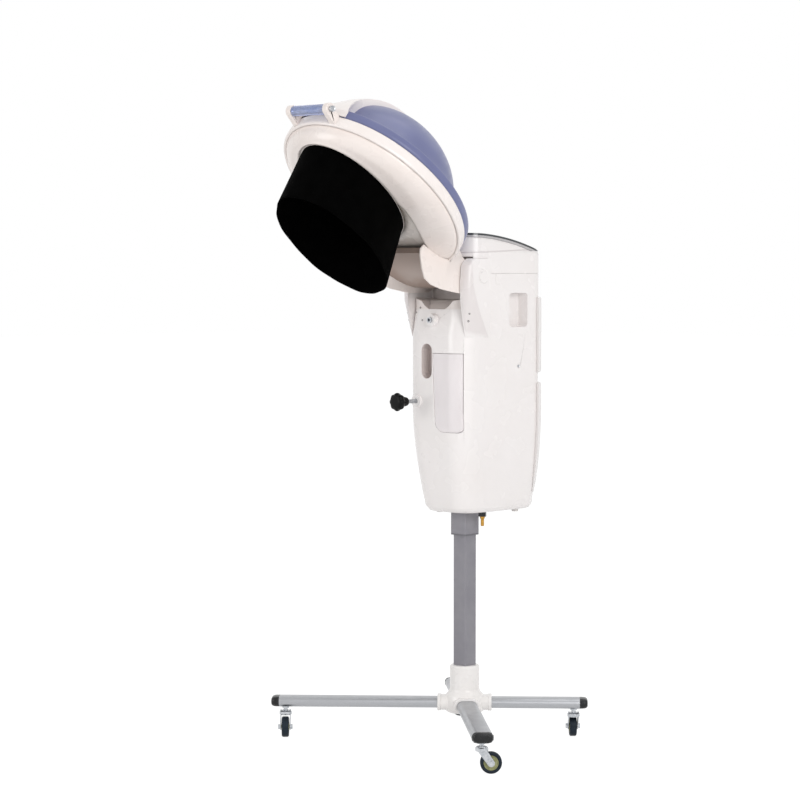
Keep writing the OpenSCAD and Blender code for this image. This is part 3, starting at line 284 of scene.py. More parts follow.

# %% [markdown]
# ## Moulded white ABS
# The housing, cap, hub, hoop and hood are injection-moulded ABS with a polished tool. The eye sees
# soft reflections that wander a little where the wall sinks as it cools, and a very slight
# yellowing. The sink marks are about 70 mm wide. The fine orange peel is really under 1 mm and
# is drawn at 3 mm, so that it shows.
#
# Two of them change at a place. The cap has a parting line. Each of the housing's cheeks has a soft
# crease that runs down and back in a curve, and the band in front of it gets painted shade.

# %% White mouldings
def moulded(name, colour, aged, rough, size=70.0):
    """Polished plastic with faint ageing, sink marks of a size in millimetres and orange peel."""
    sink, peel = 0.05, 0.004
    material, tree, surface = start(name, colour, rough, Specular_IOR_Level=0.5, Coat_Weight=0.15,
                                    Coat_Roughness=0.12)
    mottle(tree, surface, colour, aged, pattern(tree, size * 1.6, detail=1.0), 0.15, 0.85)
    uneven_gloss(tree, surface, rough - 0.06, rough + 0.1, pattern(tree, size, detail=2.0))
    under = relief(tree, surface, sink, pattern(tree, size, detail=1.0))
    relief(tree, surface, peel, pattern(tree, 3.0, detail=2.0), under)
    return material


housing_abs = moulded("gloss_abs_housing", "#f3efee", "#f0ebe9", 0.24)
cover_abs = moulded("satin_abs_covers", "#f0eceb", "#ece8e6", 0.30)
hood_abs = moulded("gloss_abs_hood", "#f5ece7", "#f1e6e0", 0.26, size=50.0)
hoop_abs = moulded("gloss_abs_hoop", "#f8f1ee", "#f4ebe6", 0.22, size=45.0)
crest_abs = moulded("gloss_abs_crest", "#fbf4f0", "#f6eeea", 0.3, size=60.0)
bowl_pp = moulded("matt_polypropylene_bowl", "#e9dccf", "#e2d4c7", 0.42)
pan_pp = moulded("beige_polypropylene_liner", "#a8948a", "#9d897e", 0.42)
hub_abs = moulded("gloss_abs_hub", "#f4f1ef", "#efebe8", 0.25, size=30.0)
foot_pvc = moulded("pale_pvc_feet", "#dcd8d6", "#cfcac7", 0.5, size=12.0)
# Painted shade: the finger slot's walls get a greyer colour than the housing, standing in for the shade
# in the pocket.
slot_painted_shade = moulded("abs_grip_pockets_painted_shade", "#d9cfcc", "#d0c6c3", 0.5, size=20.0)
# Painted shade: the saddle between the cheeks gets a slightly greyer colour, standing in for the shade
# under the neck.
saddle_painted_shade = moulded("abs_saddle_painted_shade", "#efe7e4", "#e8e0dc", 0.45, size=25.0)
print("11 white and pale mouldings")

# %% Parting line and creases
# The cap is the housing's plastic. Its line climbs by line_slope towards the back.
line_z, line_slope = 1.1851, 0.0394
cap_abs, tree, surface = copied(housing_abs, "gloss_abs_cap")
place = place_on(tree)
climb = sum_of(tree, "MULTIPLY", place["Y"], -line_slope)
off_line = sum_of(tree, "SUBTRACT", sum_of(tree, "ADD", climb, place["Z"]), line_z)
off_line = sum_of(tree, "ABSOLUTE", off_line, 0.0)
tint(tree, surface, "#cdc5c5", ramp(tree, off_line, 0.0022, 0.0004, 0.75))
# The crease is the curve y = crease_bend * (z - crease_top)^2 - crease_front. The band ends at a
# line that slants with the slope band_slant, and only the cheeks' outer faces have it.
crease_top, crease_front, crease_bend, band_slant = 1.151, 0.093, 2.3, 0.17
tree, surface = housing_abs.node_tree, shader_of(housing_abs)
place = place_on(tree)
drop = sum_of(tree, "SUBTRACT", place["Z"], crease_top)
crease = sum_of(tree, "MULTIPLY", sum_of(tree, "MULTIPLY", drop, drop), crease_bend)
ahead = sum_of(tree, "SUBTRACT", sum_of(tree, "SUBTRACT", crease, crease_front), place["Y"])
above = sum_of(tree, "ADD", sum_of(tree, "MULTIPLY", place["Y"], band_slant), place["Z"])
outside = sum_of(tree, "ABSOLUTE", place["X"], 0.0)
band = sum_of(tree, "MULTIPLY", ramp(tree, ahead, -0.003, 0.003), ramp(tree, above, 0.972, 0.982))
band = sum_of(tree, "MULTIPLY", band, ramp(tree, outside, 0.088, 0.09))
# Painted shade: the band in front of the crease is tinted darker with #ddd5d4, as if it faced away from
# the light.
tint(tree, surface, "#ddd5d4", sum_of(tree, "MULTIPLY", band, 0.55))
lowest = surface.inputs["Normal"].links[0].from_node
relief(tree, surface, -1.2, band, lowest)
print("a parting line on", cap_abs.name, "and creases on", housing_abs.name)

# %% [markdown]
# ## Tinted polycarbonate
# The dome is blue tinted polycarbonate, thick enough to look milky. It is glossy, and a little of
# what is behind it comes through. The handle bar is the same plastic, clearer. The bottle is
# blow-moulded polyethylene, which scatters light inside its wall.

# %% Clear and tinted plastics
dome_pc, tree, surface = start("blue_polycarbonate_dome", "#6e739b", 0.34, Transmission_Weight=0.06,
                               IOR=1.58, Specular_IOR_Level=0.3, Coat_Weight=0.12, Coat_Roughness=0.2)
mottle(tree, surface, "#6c719a", "#7378a0", pattern(tree, 90.0, detail=1.0))
uneven_gloss(tree, surface, 0.26, 0.44, pattern(tree, 40.0, (1.0, 1.0, 3.0), detail=4.0))
relief(tree, surface, 0.04, pattern(tree, 55.0, detail=1.0))

grip_pc, tree, surface = start("clear_blue_handle", "#a9b8ea", 0.08, Transmission_Weight=0.75, IOR=1.49,
                               Coat_Weight=0.4)
mottle(tree, surface, "#9fb1ea", "#c3cdf3", pattern(tree, 14.0, (0.25, 1.0, 1.0), detail=2.0))
relief(tree, surface, 0.03, pattern(tree, 9.0, detail=2.0))

bottle_pe, tree, surface = start("milky_polyethylene_bottle", "#f3edee", 0.34, Transmission_Weight=0.04,
                                 IOR=1.51, Subsurface_Weight=0.3, Subsurface_Radius=(0.01, 0.01, 0.01))
mottle(tree, surface, "#f3edee", "#ece6e7", pattern(tree, 60.0, (1.0, 1.0, 0.4), detail=2.0))
uneven_gloss(tree, surface, 0.28, 0.44, pattern(tree, 12.0, detail=4.0))
relief(tree, surface, 0.03, pattern(tree, 8.0, detail=2.0))

display_acrylic, tree, surface = start("smoked_acrylic_window", "#2d3a40", 0.08, Coat_Weight=0.5)
mottle(tree, surface, "#2b373d", "#33424a", pattern(tree, 10.0, (0.3, 1.0, 1.0)))
relief(tree, surface, 0.004, pattern(tree, 5.0))

panel_acrylic, tree, surface = start("smoked_acrylic_console", "#1f2327", 0.14, Coat_Weight=0.5,
                                     Coat_Roughness=0.04)
mottle(tree, surface, "#1d2125", "#262b30", pattern(tree, 45.0, detail=2.0))
uneven_gloss(tree, surface, 0.1, 0.22, pattern(tree, 20.0, detail=5.0))
relief(tree, surface, 0.02, pattern(tree, 40.0, detail=1.0))
# The sheet is thin, and below that depth its edge is painted pale grey, as painted shade under the
# dark top. The console's top is a part of a cylinder, whose axis runs across at axis_y and axis_z.
axis_y, axis_z, painted_shade_top = -0.091, 0.448, 0.7758
place = add(tree, "TexCoord").outputs["Object"]
place = add(tree, "Mapping", None, {"Location": (0.0, -axis_y, -axis_z), "Scale": (0.0, 1.0, 1.0)},
            {"Vector": place})
from_axis = add(tree, "VectorMath", {"operation": "LENGTH"}, None, {0: place.outputs[0]})
on_top = ramp(tree, from_axis.outputs["Value"], painted_shade_top, painted_shade_top + 0.0005)
dark = surface.inputs["Base Color"].links[0].from_socket
# Painted shade: below that depth the panel's edge is pale grey #b4b1b2 instead of dark.
edge = add(tree, "Mix", {"data_type": "RGBA"}, {6: linear("#b4b1b2")}, {0: on_top, 7: dark})
tree.links.new(edge.outputs[2], surface.inputs["Base Color"])
print("5 clear or tinted plastics")

# %% [markdown]
# ## Metals and paint
# The legs are extruded aluminium, brushed along their length: fine lines, drawn at 1.2 mm across and
# sixty times as long. Each leg lies at its own angle, so the Mapping node turns the lines with it.
# The forks and screws are zinc plated, which shows soft blotches. The column is powder painted: a
# fine pebble of about 1 mm, drawn at 2 mm.

# %% Metals and paint
def brushed(name, colour, rough, stretch, turned):
    """Bare metal with fine lines, 1.2 mm across, that are stretched and turned."""
    material, tree, surface = start(name, colour, rough, Metallic=1.0)
    lines = pattern(tree, 1.2, stretch, turned, detail=2.0)
    mottle(tree, surface, colour, "#9fa1a5", lines, 0.2, 0.9)
    uneven_gloss(tree, surface, rough - 0.07, rough + 0.12, pattern(tree, 30.0, detail=3.0))
    relief(tree, surface, 0.012, lines)
    return material


def plated(name, colour, dull, rough, blotch=6.0):
    """Metal with soft blotches of a size in millimetres."""
    material, tree, surface = start(name, colour, rough, Metallic=1.0)
    mottle(tree, surface, colour, dull, pattern(tree, blotch, detail=3.0))
    uneven_gloss(tree, surface, rough - 0.08, rough + 0.14, pattern(tree, blotch * 0.6, detail=4.0))
    relief(tree, surface, 0.008, pattern(tree, blotch * 0.3, detail=2.0))
    return material


def painted(name, colour, other, rough, pebble=2.0):
    """Paint or lacquer with a pebbled relief of a size in millimetres."""
    material, tree, surface = start(name, colour, rough, Specular_IOR_Level=0.45)
    mottle(tree, surface, colour, other, pattern(tree, 40.0, detail=4.0))
    uneven_gloss(tree, surface, rough - 0.06, rough + 0.1, pattern(tree, 18.0, detail=4.0))
    relief(tree, surface, 0.02, pattern(tree, pebble, detail=2.0))
    return material


leg_angle = 42.0
along = (0.02, 1.0, 1.0)
alloy_one = brushed("brushed_aluminium_legs", "#b5b6b9", 0.34, along, -leg_angle)
alloy_two = brushed("brushed_aluminium_cross_legs", "#b5b6b9", 0.34, along, leg_angle)
zinc = plated("zinc_plated_steel", "#c8cacd", "#aeb2b7", 0.3)
galvanised = plated("galvanised_sheet", "#b9bcc0", "#a2a6ab", 0.42, 14.0)
stainless = plated("stainless_boiler_sheet", "#cdd0d3", "#bcc0c4", 0.28, 30.0)
brass = plated("turned_brass", "#c79a4b", "#a97c34", 0.26, 3.0)
copper = plated("copper_sheathed_element", "#a8734d", "#85573a", 0.36, 4.0)
cast_alloy = plated("cast_alloy_clamp", "#94979c", "#7d8085", 0.5, 5.0)
column_paint = painted("grey_powder_paint", "#8e8c92", "#86848b", 0.42)
board_mask = painted("green_solder_mask", "#2f6b45", "#27593a", 0.35, 3.0)
print("8 metals and 2 paints")

# %% [markdown]
# ## Rubber, black plastic and vinyl
# The tyres are slate-blue thermoplastic rubber, scuffed where they roll. The knob, nut and end caps
# are black nylon with a fine spark-eroded texture. The skirt is black vinyl-coated cloth: almost no
# gloss, and a weave of about 0.6 mm that is drawn at 1.3 mm.

# %% Dark and soft finishes
def rubbery(name, colour, worn, rough, size=5.0, depth=0.03, gloss=0.35):
    """Rubber or textured plastic with scuffs of a size in millimetres."""
    material, tree, surface = start(name, colour, rough, Specular_IOR_Level=gloss)
    mottle(tree, surface, colour, worn, pattern(tree, size * 2.0, detail=6.0), 0.42, 0.75)
    uneven_gloss(tree, surface, rough - 0.1, rough + 0.12, pattern(tree, size, detail=4.0))
    relief(tree, surface, depth, pattern(tree, size * 0.3, detail=3.0))
    return material


tyre_rubber = rubbery("slate_blue_rubber", "#131d27", "#1f2b36", 0.55, gloss=0.22)
core_nylon = rubbery("olive_nylon_core", "#8f9063", "#a4a57c", 0.4, 4.0, 0.01)
black_nylon = rubbery("black_nylon", "#020202", "#060607", 0.36, 4.0, 0.01, 0.16)
black_abs = rubbery("black_abs_caps", "#141517", "#222427", 0.28, 6.0, 0.01)
screw_black = plated("blackened_steel_screws", "#3a3838", "#2c2a2a", 0.4, 2.0)
bush_nylon = rubbery("grey_nylon_bush", "#6f6e73", "#7c7b80", 0.5, 5.0, 0.01)
hose_silicone = rubbery("silicone_hose", "#b9b4a8", "#aaa598", 0.5, 10.0, 0.02)
valve_plastic = rubbery("blue_acetal_valve", "#4a7fb0", "#5d8fbd", 0.35, 4.0, 0.01)
key_plastic = rubbery("grey_key_caps", "#c9ccd0", "#bcbfc4", 0.36, 3.0, 0.01)

skirt_vinyl, tree, surface = start("black_vinyl_cloth", "#010101", 0.85, Specular_IOR_Level=0.02)
weave = add(tree, "TexCoord").outputs["UV"]
weave = add(tree, "Mapping", None, {"Scale": (500.0, 500.0, 1.0)}, {"Vector": weave})
warp = add(tree, "TexWave", {"bands_direction": "X"}, {"Scale": 0.5, "Distortion": 0.4},
           {"Vector": weave.outputs[0]})
weft = add(tree, "TexWave", {"bands_direction": "Y"}, {"Scale": 0.5, "Distortion": 0.4},
           {"Vector": weave.outputs[0]})
threads = add(tree, "Math", {"operation": "MAXIMUM"}, None,
              {0: warp.outputs["Fac"], 1: weft.outputs["Fac"]})
mottle(tree, surface, "#010101", "#030303", pattern(tree, 35.0, detail=4.0))
uneven_gloss(tree, surface, 0.78, 0.95, pattern(tree, 25.0, detail=3.0))
relief(tree, surface, 0.05, threads.outputs[0])
print("10 dark, soft or coloured finishes")

# %% [markdown]
# ## From solid to moulding
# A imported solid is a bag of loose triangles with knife-sharp edges. A copy of it is joined up at its
# corners, a Bevel modifier rounds the edges as a mould would, and Weighted Normals keep the flat
# walls flat. New shapes are grown ring by ring: a circle is extruded by its edge and each new ring
# is set to the half width, half length, offset and height that the form has there.

# %% Making pieces
def finished(name, bm, body, material, stands_for=(), soften=0.0, sharp=35.0, segments=2):
    """Turns a bmesh into a piece that rides on a body and stands for its solids."""
    mesh = bpy.data.meshes.new(name)
    bm.to_mesh(mesh)
    bm.free()
    piece = bpy.data.objects.new(name, mesh)
    bpy.context.scene.collection.objects.link(piece)
    mesh.materials.append(material)
    mesh.shade_smooth()
    mesh.set_sharp_from_angle(angle=math.radians(sharp))
    if soften:
        edge = piece.modifiers.new("rounded_edges", "BEVEL")
        edge.width = soften * MM
        edge.segments = segments
        edge.limit_method = "ANGLE"
        edge.angle_limit = math.radians(sharp)
        edge.use_clamp_overlap = False
        edge.loop_slide = True
        flats = piece.modifiers.new("flat_walls_stay_flat", "WEIGHTED_NORMAL")
        flats.keep_sharp = True
        flats.weight = 100
    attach(piece, body)
    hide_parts(*stands_for)
    return piece


def joined_copy(node, keep=None):
    """A merged copy of a solid's mesh. keep chooses faces by their centre and normal."""
    bm = bmesh.new()
    bm.from_mesh(nodes[node].data)
    bmesh.ops.remove_doubles(bm, verts=bm.verts, dist=0.00002)
    if keep:
        unwanted = [f for f in bm.faces if not keep(f)]
        bmesh.ops.delete(bm, geom=unwanted, context="FACES")
    return bm


def remoulded(node, material, soften=0.6, sharp=32.0, segments=2):
    """The solid's own shape, with rounded edges and smooth shading."""
    body = nodes[node]["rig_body"]
    return finished(node + "_moulding", joined_copy(node), body, material, (node,), soften, sharp,
                    segments)


def walled(piece, name, thickness):
    """Gives a thin skin a wall inwards, in mm."""
    wall = piece.modifiers.new(name, "SOLIDIFY")
    wall.thickness = thickness * MM
    wall.offset = -1.0


def seat(ring):
    """The matrix that sets a unit circle to (half width, half length, offset, height) in mm."""
    across, along, offset, height = (v * MM for v in ring)
    return Matrix.Translation((0.0, offset, height)) @ Matrix.Diagonal((across, along, 1.0, 1.0))


def grown(rings, segments=96, close=False):
    """A skin grown from ring to ring. Returns the bmesh and the edges of its two ends."""
    bm = bmesh.new()
    bmesh.ops.create_circle(bm, cap_ends=False, segments=segments, radius=1.0)
    bmesh.ops.transform(bm, matrix=seat(rings[0]), verts=bm.verts)
    first = last = bm.edges[:]
    for before, after in zip(rings, rings[1:]):
        made = bmesh.ops.extrude_edge_only(bm, edges=last)["geom"]
        fresh = {g for g in made if isinstance(g, bmesh.types.BMVert)}
        last = [g for g in made if isinstance(g, bmesh.types.BMEdge) and fresh.issuperset(g.verts)]
        bmesh.ops.transform(bm, matrix=seat(after) @ seat(before).inverted(), verts=list(fresh))
    if close:
        bmesh.ops.bridge_loops(bm, edges=first + last)
        bmesh.ops.recalc_face_normals(bm, faces=bm.faces)
    return bm, first, last


def ellipsoid_rings(half_width, half_length, base, rise, degrees):
    """Rings of half an ellipsoid, at angles above its base."""
    return [(half_width * math.cos(a), half_length * math.cos(a), 0, base + rise * math.sin(a))
            for a in map(math.radians, degrees)]


def closed_shell(rings, crown_height, crown_offset=0.0, segments=144):
    """Rings that end in one point, with their faces turned outwards."""
    bm, _, crown = grown(rings, segments)
    top = list({v for e in crown for v in e.verts})
    bmesh.ops.pointmerge(bm, verts=top, merge_co=Vector((0, crown_offset * MM, crown_height * MM)))
    bmesh.ops.recalc_face_normals(bm, faces=bm.faces)
    if sum(f.normal.z for f in bm.faces) < 0:
        bmesh.ops.reverse_faces(bm, faces=bm.faces)
    return bm


def flowing(points, steps=5):
    """More points on a smooth curve through the given ones (Catmull-Rom)."""
    p = [np.array(q, float) for q in points]
    p = [2 * p[0] - p[1]] + p + [2 * p[-1] - p[-2]]
    line = []
    for a, b, c, d in zip(p, p[1:], p[2:], p[3:]):
        for k in range(steps):
            t = k / steps
            line.append(0.5 * (2 * b + (c - a) * t + (2 * a - 5 * b + 4 * c - d) * t ** 2
                               + (3 * b - a - 3 * c + d) * t ** 3))
    line.append(p[-2])
    return [tuple(float(v) for v in q) for q in line]


print("piece makers ready")

# %% [markdown]
# ## The hood's frame of reference
# The hood hangs at forty degrees. It is easier to shape it level, with its dome straight up, and to
# set each finished piece into its tilted place with one matrix. Most rings are set in from the
# rim's oval, whose half width and half length are hood_hw and hood_hl.

# %% The hood's place
hood_place = Matrix.Translation((0.0, -0.312, 1.321)) @ Matrix.Rotation(math.radians(-40.0), 4, "X")
hood_hw, hood_hl = 217.0, 253.5


def in_hood(name, bm, material, node, soften=0.0, sharp=50.0, segments=2):
    """Sets a level form into the hood's tilted place and finishes it as a piece of the hood."""
    bmesh.ops.transform(bm, matrix=hood_place, verts=bm.verts)
    return finished(name, bm, "hood", material, (node,), soften, sharp, segments)


print("hood's crown points to", [round(v, 2) for v in (hood_place.to_3x3() @ Vector((0, 0, 1)))])

# %% [markdown]
# ## The rim hoop
# One oval moulding, 434 by 507 mm, holds funnel, dome and bowl together. Its section is a low
# rounded band with a ledge inside. The section is followed by rings at a distance inside the
# outer edge, and the last ring is bridged to the first, so that the band is closed.

# %% Rim hoop
# Each point is (distance inside the outer edge, height).
hoop_section = [(20, -11), (9.4, -11), (8.2, -11.6), (7.6, -13.2), (6.6, -14), (3, -14), (1.2, -12.6),
                (0.2, -9), (0, -4), (0, 3), (0.1, 8), (0.7, 10.8), (2.2, 13), (5, 14), (34, 14),
                (34, 10), (20, 10)]
bm, _, _ = grown([(hood_hw - d, hood_hl - d, 0, z) for d, z in hoop_section], 144, close=True)
hoop = in_hood("rim_hoop_moulding", bm, hoop_abs, "rim_hoop", 0.8, 40.0)
print("rim hoop:", len(hoop.data.polygons), "faces")

# %% [markdown]
# ## The funnel and the neck
# Funnel and neck are one white moulding. The funnel flares from the oval mouth, 234 by 329 mm, to
# the hoop, and is 3.5 mm thick. Its outer wall is grown first and the inner wall back again. The neck's
# walls are flat plates that the CAD solid already has, cut where they meet the funnel, so only those
# faces are copied: they face straight sideways, or not sideways at all. Between the neck's walls the
# funnel sinks into a shallow channel. Every point's share in it is kept as an attribute, which
# its material reads.

# %% Funnel and neck
# Each ring is (half width, half length, offset, height).
funnel_out = [(115, 162.5, -54, -46), (117, 164.5, -54, -47.5), (124, 171, -50, -48.5),
              (138, 183, -42, -45), (165, 207, -25, -39), (190, 229, -10, -29), (203, 239.5, -2, -19.4),
              (206.2, 242.7, 0, -15), (206.6, 243.1, 0, -12)]
funnel_in = [(203, 239.5, 0, -12), (200.5, 236.5, -2, -15.5), (186.5, 225.5, -10, -25.5),
             (161.5, 203.5, -25, -35.5), (134.5, 179.5, -42, -41.5), (113, 160.5, -54, -44.5)]
# The channel's half width at places from front to back, its depth, and the runs over which it starts.
channel_y = (-25, 3, 36, 61, 95, 132, 160, 260)
channel_x = (116, 123, 119, 114, 103, 90, 84, 84)
channel_depth, side_run, front_run = 4.0, 5.0, 40.0
bm, _, _ = grown(flowing(funnel_out, 8) + flowing(funnel_in, 8), 240, close=True)
channel = bm.verts.layers.float.new("channel")
for v in bm.verts:
    x, y = abs(v.co.x) / MM, v.co.y / MM
    edge = float(np.interp(y, channel_y, channel_x))
    share = min(max((edge - x) / side_run, 0.0), 1.0)
    share *= min(max((y - channel_y[0]) / front_run, 0.0), 1.0)
    v[channel] = share * share * (3 - 2 * share)
    v.co.z += channel_depth * MM * v[channel]
# The channel's hollow gets painted shade: darker and more beige than the polished outside.
funnel_abs, tree, surface = copied(hood_abs, "gloss_abs_funnel_channel_shade")
tint(tree, surface, "#cfc6bf", add(tree, "Attribute", {"attribute_name": "channel"}).outputs["Fac"])
funnel = in_hood("hood_funnel", bm, funnel_abs, "hood_frame")


def is_neck(face):
    """Faces of the neck look straight sideways or not sideways at all; the funnel's look between."""
    sideways = abs(face.normal.x)
    return sideways > 0.999 or sideways < 0.003


bm = joined_copy("hood_frame", is_neck)
neck = finished("hood_neck", bm, "hood", hood_abs, ("hood_frame",), 0.0, 40.0)
remoulded("neck_pan", pan_pp, 0.4, 62.0)
print("funnel:", len(funnel.data.polygons), "faces, neck:", len(neck.data.polygons))

# %% [markdown]
# ## The blue dome and its white crest
# The dome rises from a flange that stands on the hoop, pulls in and then swells to the crown. It is
# grown like the rest and its last ring is drawn to one point. The crest is a white moulding that
# starts wide on the hoop, bridges the dome's flare and runs over the crown as a narrow band. It is a
# second grown form, cut by upright planes along its tapering outline. The cut edges are then drawn
# down until they land on the dome, which a ray to the dome's surface finds.

# %% Dome
# The flare's rings are (distance inside the rim in width, in length, height).
dome_flare = [(4, 4, 14.3), (1, 1, 20), (1, 1, 30), (4, 4, 35.5), (19, 21, 40.5), (40, 44, 47.5),
              (54, 60, 58)]
dome_rings = [(hood_hw - dx, hood_hl - dy, 0, z) for dx, dy, z in dome_flare]
dome_rings += ellipsoid_rings(158, 190, 45, 148, (12, 24, 36, 47, 58, 68, 77, 85, 88.5))
bm = closed_shell(flowing(dome_rings, 4), 193)
dome_below = BVHTree.FromBMesh(bm)
dome = in_hood("tinted_dome", bm, dome_pc, "outer_dome")
walled(dome, "wall", 3)
print("dome:", len(dome.data.polygons), "faces")

# %% The crest's outline
# Each ring is (half width, half length, offset, height), and the last one is drawn to the crown.
crest_form = [(219, 255.5, 0, 14.6), (219, 255.5, 0, 22), (219, 255.5, 0, 31), (214, 250.5, 0, 37),
              (204, 241.5, -2.5, 46), (190, 224, -12, 58), (178, 208, -14, 76), (169, 195.5, -9.5, 98),
              (154, 179.5, -7.5, 120), (138, 163.5, -6, 138), (118, 143, -6, 155),
              (98, 122.5, -6.5, 169), (76, 99, -7, 181), (54, 74, -8, 190), (34, 50, -8, 196),
              (16, 27.5, -7.5, 200)]
crest_foot = 14.6 * MM
crest_ahead, crest_taper, crest_end = 4.0, 104.0, 235.0
crest_narrow, crest_spread, crest_curve = 20.0, 98.0, 2.6
shoulder, shoulder_at, shoulder_run = 9.0, 0.12, 0.09


def crest_half_width(along):
    """Half the crest's width in mm at a place from front to back."""
    t = min(max((along + hood_hl + crest_ahead) / crest_taper, 0.0), 1.0)
    bulge = shoulder * math.exp(-((t - shoulder_at) / shoulder_run) ** 2)
    return crest_narrow + crest_spread * (1.0 - t) ** crest_curve + bulge


widths = (2 * crest_half_width(-250), 2 * crest_half_width(0))
print("crest: %.0f mm wide at the hoop, %.0f mm on the dome" % widths)

# %% The crest's shell
bm = closed_shell(flowing(crest_form, 3), 201, -7.5)


def cut(place, normal, clear=False):
    """Cuts the form along a plane. With clear, what lies beyond it goes."""
    bmesh.ops.bisect_plane(bm, geom=bm.verts[:] + bm.edges[:] + bm.faces[:], dist=1e-7, plane_co=place,
                           plane_no=normal, clear_outer=clear)


stations = np.linspace(-hood_hl - crest_ahead, -hood_hl + crest_taper - crest_ahead, 22)
for side in (-1, 1):
    for y0, y1 in zip(stations, stations[1:]):
        a = Vector((side * crest_half_width(y0) * MM, y0 * MM, 0))
        b = Vector((side * crest_half_width(y1) * MM, y1 * MM, 0))
        cut(a, (b - a).cross(Vector((0, 0, 1))))
    cut((side * crest_narrow * MM, 0, 0), (1, 0, 0))
cut((0, crest_end * MM, 0), (0, 1, 0), True)


def off_crest(face):
    """Whether a face lies beside the crest's outline."""
    centre = face.calc_center_median() / MM
    return abs(centre.x) > crest_half_width(centre.y)


bmesh.ops.delete(bm, geom=[f for f in bm.faces if off_crest(f)], context="FACES")
# The cut edges, without the foot and the upright ones.
rim = [e for e in bm.edges if e.is_boundary and max(v.co.z for v in e.verts) > crest_foot + MM
       and abs(e.verts[0].co.z - e.verts[1].co.z) < 0.9 * e.calc_length()]
made = bmesh.ops.extrude_edge_only(bm, edges=rim)["geom"]
for v in (g for g in made if isinstance(g, bmesh.types.BMVert)):
    landing = dome_below.ray_cast(v.co, Vector((0, 0, -1)))[0]
    v.co.z = crest_foot if landing is None else max(crest_foot, min(v.co.z, landing.z - 0.3 * MM))
bmesh.ops.dissolve_degenerate(bm, dist=1e-5, edges=bm.edges)
crest = in_hood("dome_crest_shell", bm, crest_abs, "dome_crest")
walled(crest, "wall", 2.4)
round_edge = crest.modifiers.new("rounded_edges", "BEVEL")
round_edge.width = 1.0 * MM
round_edge.segments = 3
round_edge.limit_method = "ANGLE"
round_edge.angle_limit = math.radians(50)
print("crest:", len(crest.data.polygons), "faces")

# %% [markdown]
# ## The bowl inside
# Steam fills a white bowl under the dome. It is seen only from below, through the skirt, but it is
# finished like the rest: a shallow flange and a half ellipsoid, closed at its pole.

# %% Inner bowl
bowl_rings = [(196.8, 233.3, 0, 6.8), (196.8, 233.3, 0, 9.8), (154, 180, 0, 10)]
bowl_rings += ellipsoid_rings(148, 174, 16, 152, (2, 12, 22, 32, 42, 52, 62, 71, 79, 86))
bm = closed_shell(bowl_rings, 168, segments=96)
bowl = in_hood("steam_bowl", bm, bowl_pp, "inner_bowl")
walled(bowl, "wall", 3)
print("bowl:", len(bowl.data.polygons), "faces")

# %% [markdown]
# ## The black skirt
# The skirt keeps the steam round the head. It is one band of vinyl-coated cloth, sewn into a tube
# and gripped inside the funnel's mouth. It hangs out from there with shallow folds that deepen
# towards the hem. The band's size before sewing is measured from the mesh and printed. Its UV map
# is in metres along the girth and the drop, so the weave runs with the cloth.

# %% Steam skirt
# Sizes in mm. The folds are spread round the oval that the skirt has at half its drop.
mouth_hw, mouth_hl, mouth_y = 112.7, 160.2, -54
skirt_top, skirt_drop, skirt_lean, skirt_steps = -50, 135, 30, 26
wider, longer = 11, 10
main_folds, main_depth, small_folds, small_depth = 7, 1.4, 16, 0.5
fold_hw, fold_hl = 118, 165
cloth_middle = -40 * MM


def skirt_ring(t):
    """A ring of the skirt at a share t of its drop. It widens and leans back as it goes down."""
    return (mouth_hw + wider * t, mouth_hl + longer * t, mouth_y + skirt_lean * t,
            skirt_top - skirt_drop * t)


collar = [(mouth_hw, mouth_hl, mouth_y, z) for z in (-42, -46)]
bm, _, hem = grown(collar + [skirt_ring(k / skirt_steps) for k in range(skirt_steps + 1)], 192)
for v in bm.verts:
    t = min(max((skirt_top * MM - v.co.z) / (skirt_drop * MM), 0.0), 1.0)
    middle = mouth_y * MM + skirt_lean * MM * t
    angle = math.atan2((v.co.y - middle) / fold_hl, v.co.x / fold_hw)
    depth = main_depth * t ** 1.5 * math.cos(main_folds * angle)
    depth += small_depth * t ** 2 * math.cos(small_folds * angle + 1.0)
    v.co.x += depth * MM * math.cos(angle)
    v.co.y += depth * MM * math.sin(angle)
cloth_area = sum(f.calc_area() for f in bm.faces)
hem_length = sum(e.calc_length() for e in hem)
bmesh.ops.recalc_face_normals(bm, faces=bm.faces)
layer = bm.loops.layers.uv.new("cloth")
for f in bm.faces:
    angles = [math.atan2(l.vert.co.y - cloth_middle, l.vert.co.x) / (2 * math.pi) for l in f.loops]
    for l, turn_share in zip(f.loops, angles):
        if max(angles) - min(angles) > 0.5 and turn_share < 0:
            turn_share += 1.0
        l[layer].uv = (turn_share * hem_length, l.vert.co.z)
skirt = in_hood("skirt_cloth", bm, skirt_vinyl, "steam_skirt", 0.0, 60.0)
walled(skirt, "cloth_thickness", 1.2)
print("skirt cloth: %.3f m round, %.3f m deep" % (hem_length, cloth_area / hem_length))

# %% [markdown]
# ## The handle
# A clear blue bar between two white brackets lifts the hood. The bar is a short round extrusion with
# softened ends on a thin grey rod. The rod has a hollow grey head on the near side and a black
# screw on the far one. Brackets and rod follow their solids.

# %% Handle
sideways = Matrix.Rotation(math.pi / 2, 4, "Y")
grip_axis = Vector((0, -273, 7)) * MM


def turned_pin(radius, x0, x1, segments=48):
    """A round pin along the grip's axis, from x0 to x1 mm."""
    bm = bmesh.new()
    bmesh.ops.create_cone(bm, cap_ends=True, segments=segments, radius1=radius * MM,
                          radius2=radius * MM, depth=(x1 - x0) * MM, matrix=sideways)
    bmesh.ops.translate(bm, vec=grip_axis + Vector(((x0 + x1) / 2 * MM, 0, 0)), verts=bm.verts)
    return bm


def on_handle(name, bm, material, soften, segments=2):
    """A piece of the grip, in the hood's place."""
    in_hood(name, bm, material, "handle_grip", soften, 40.0, segments)


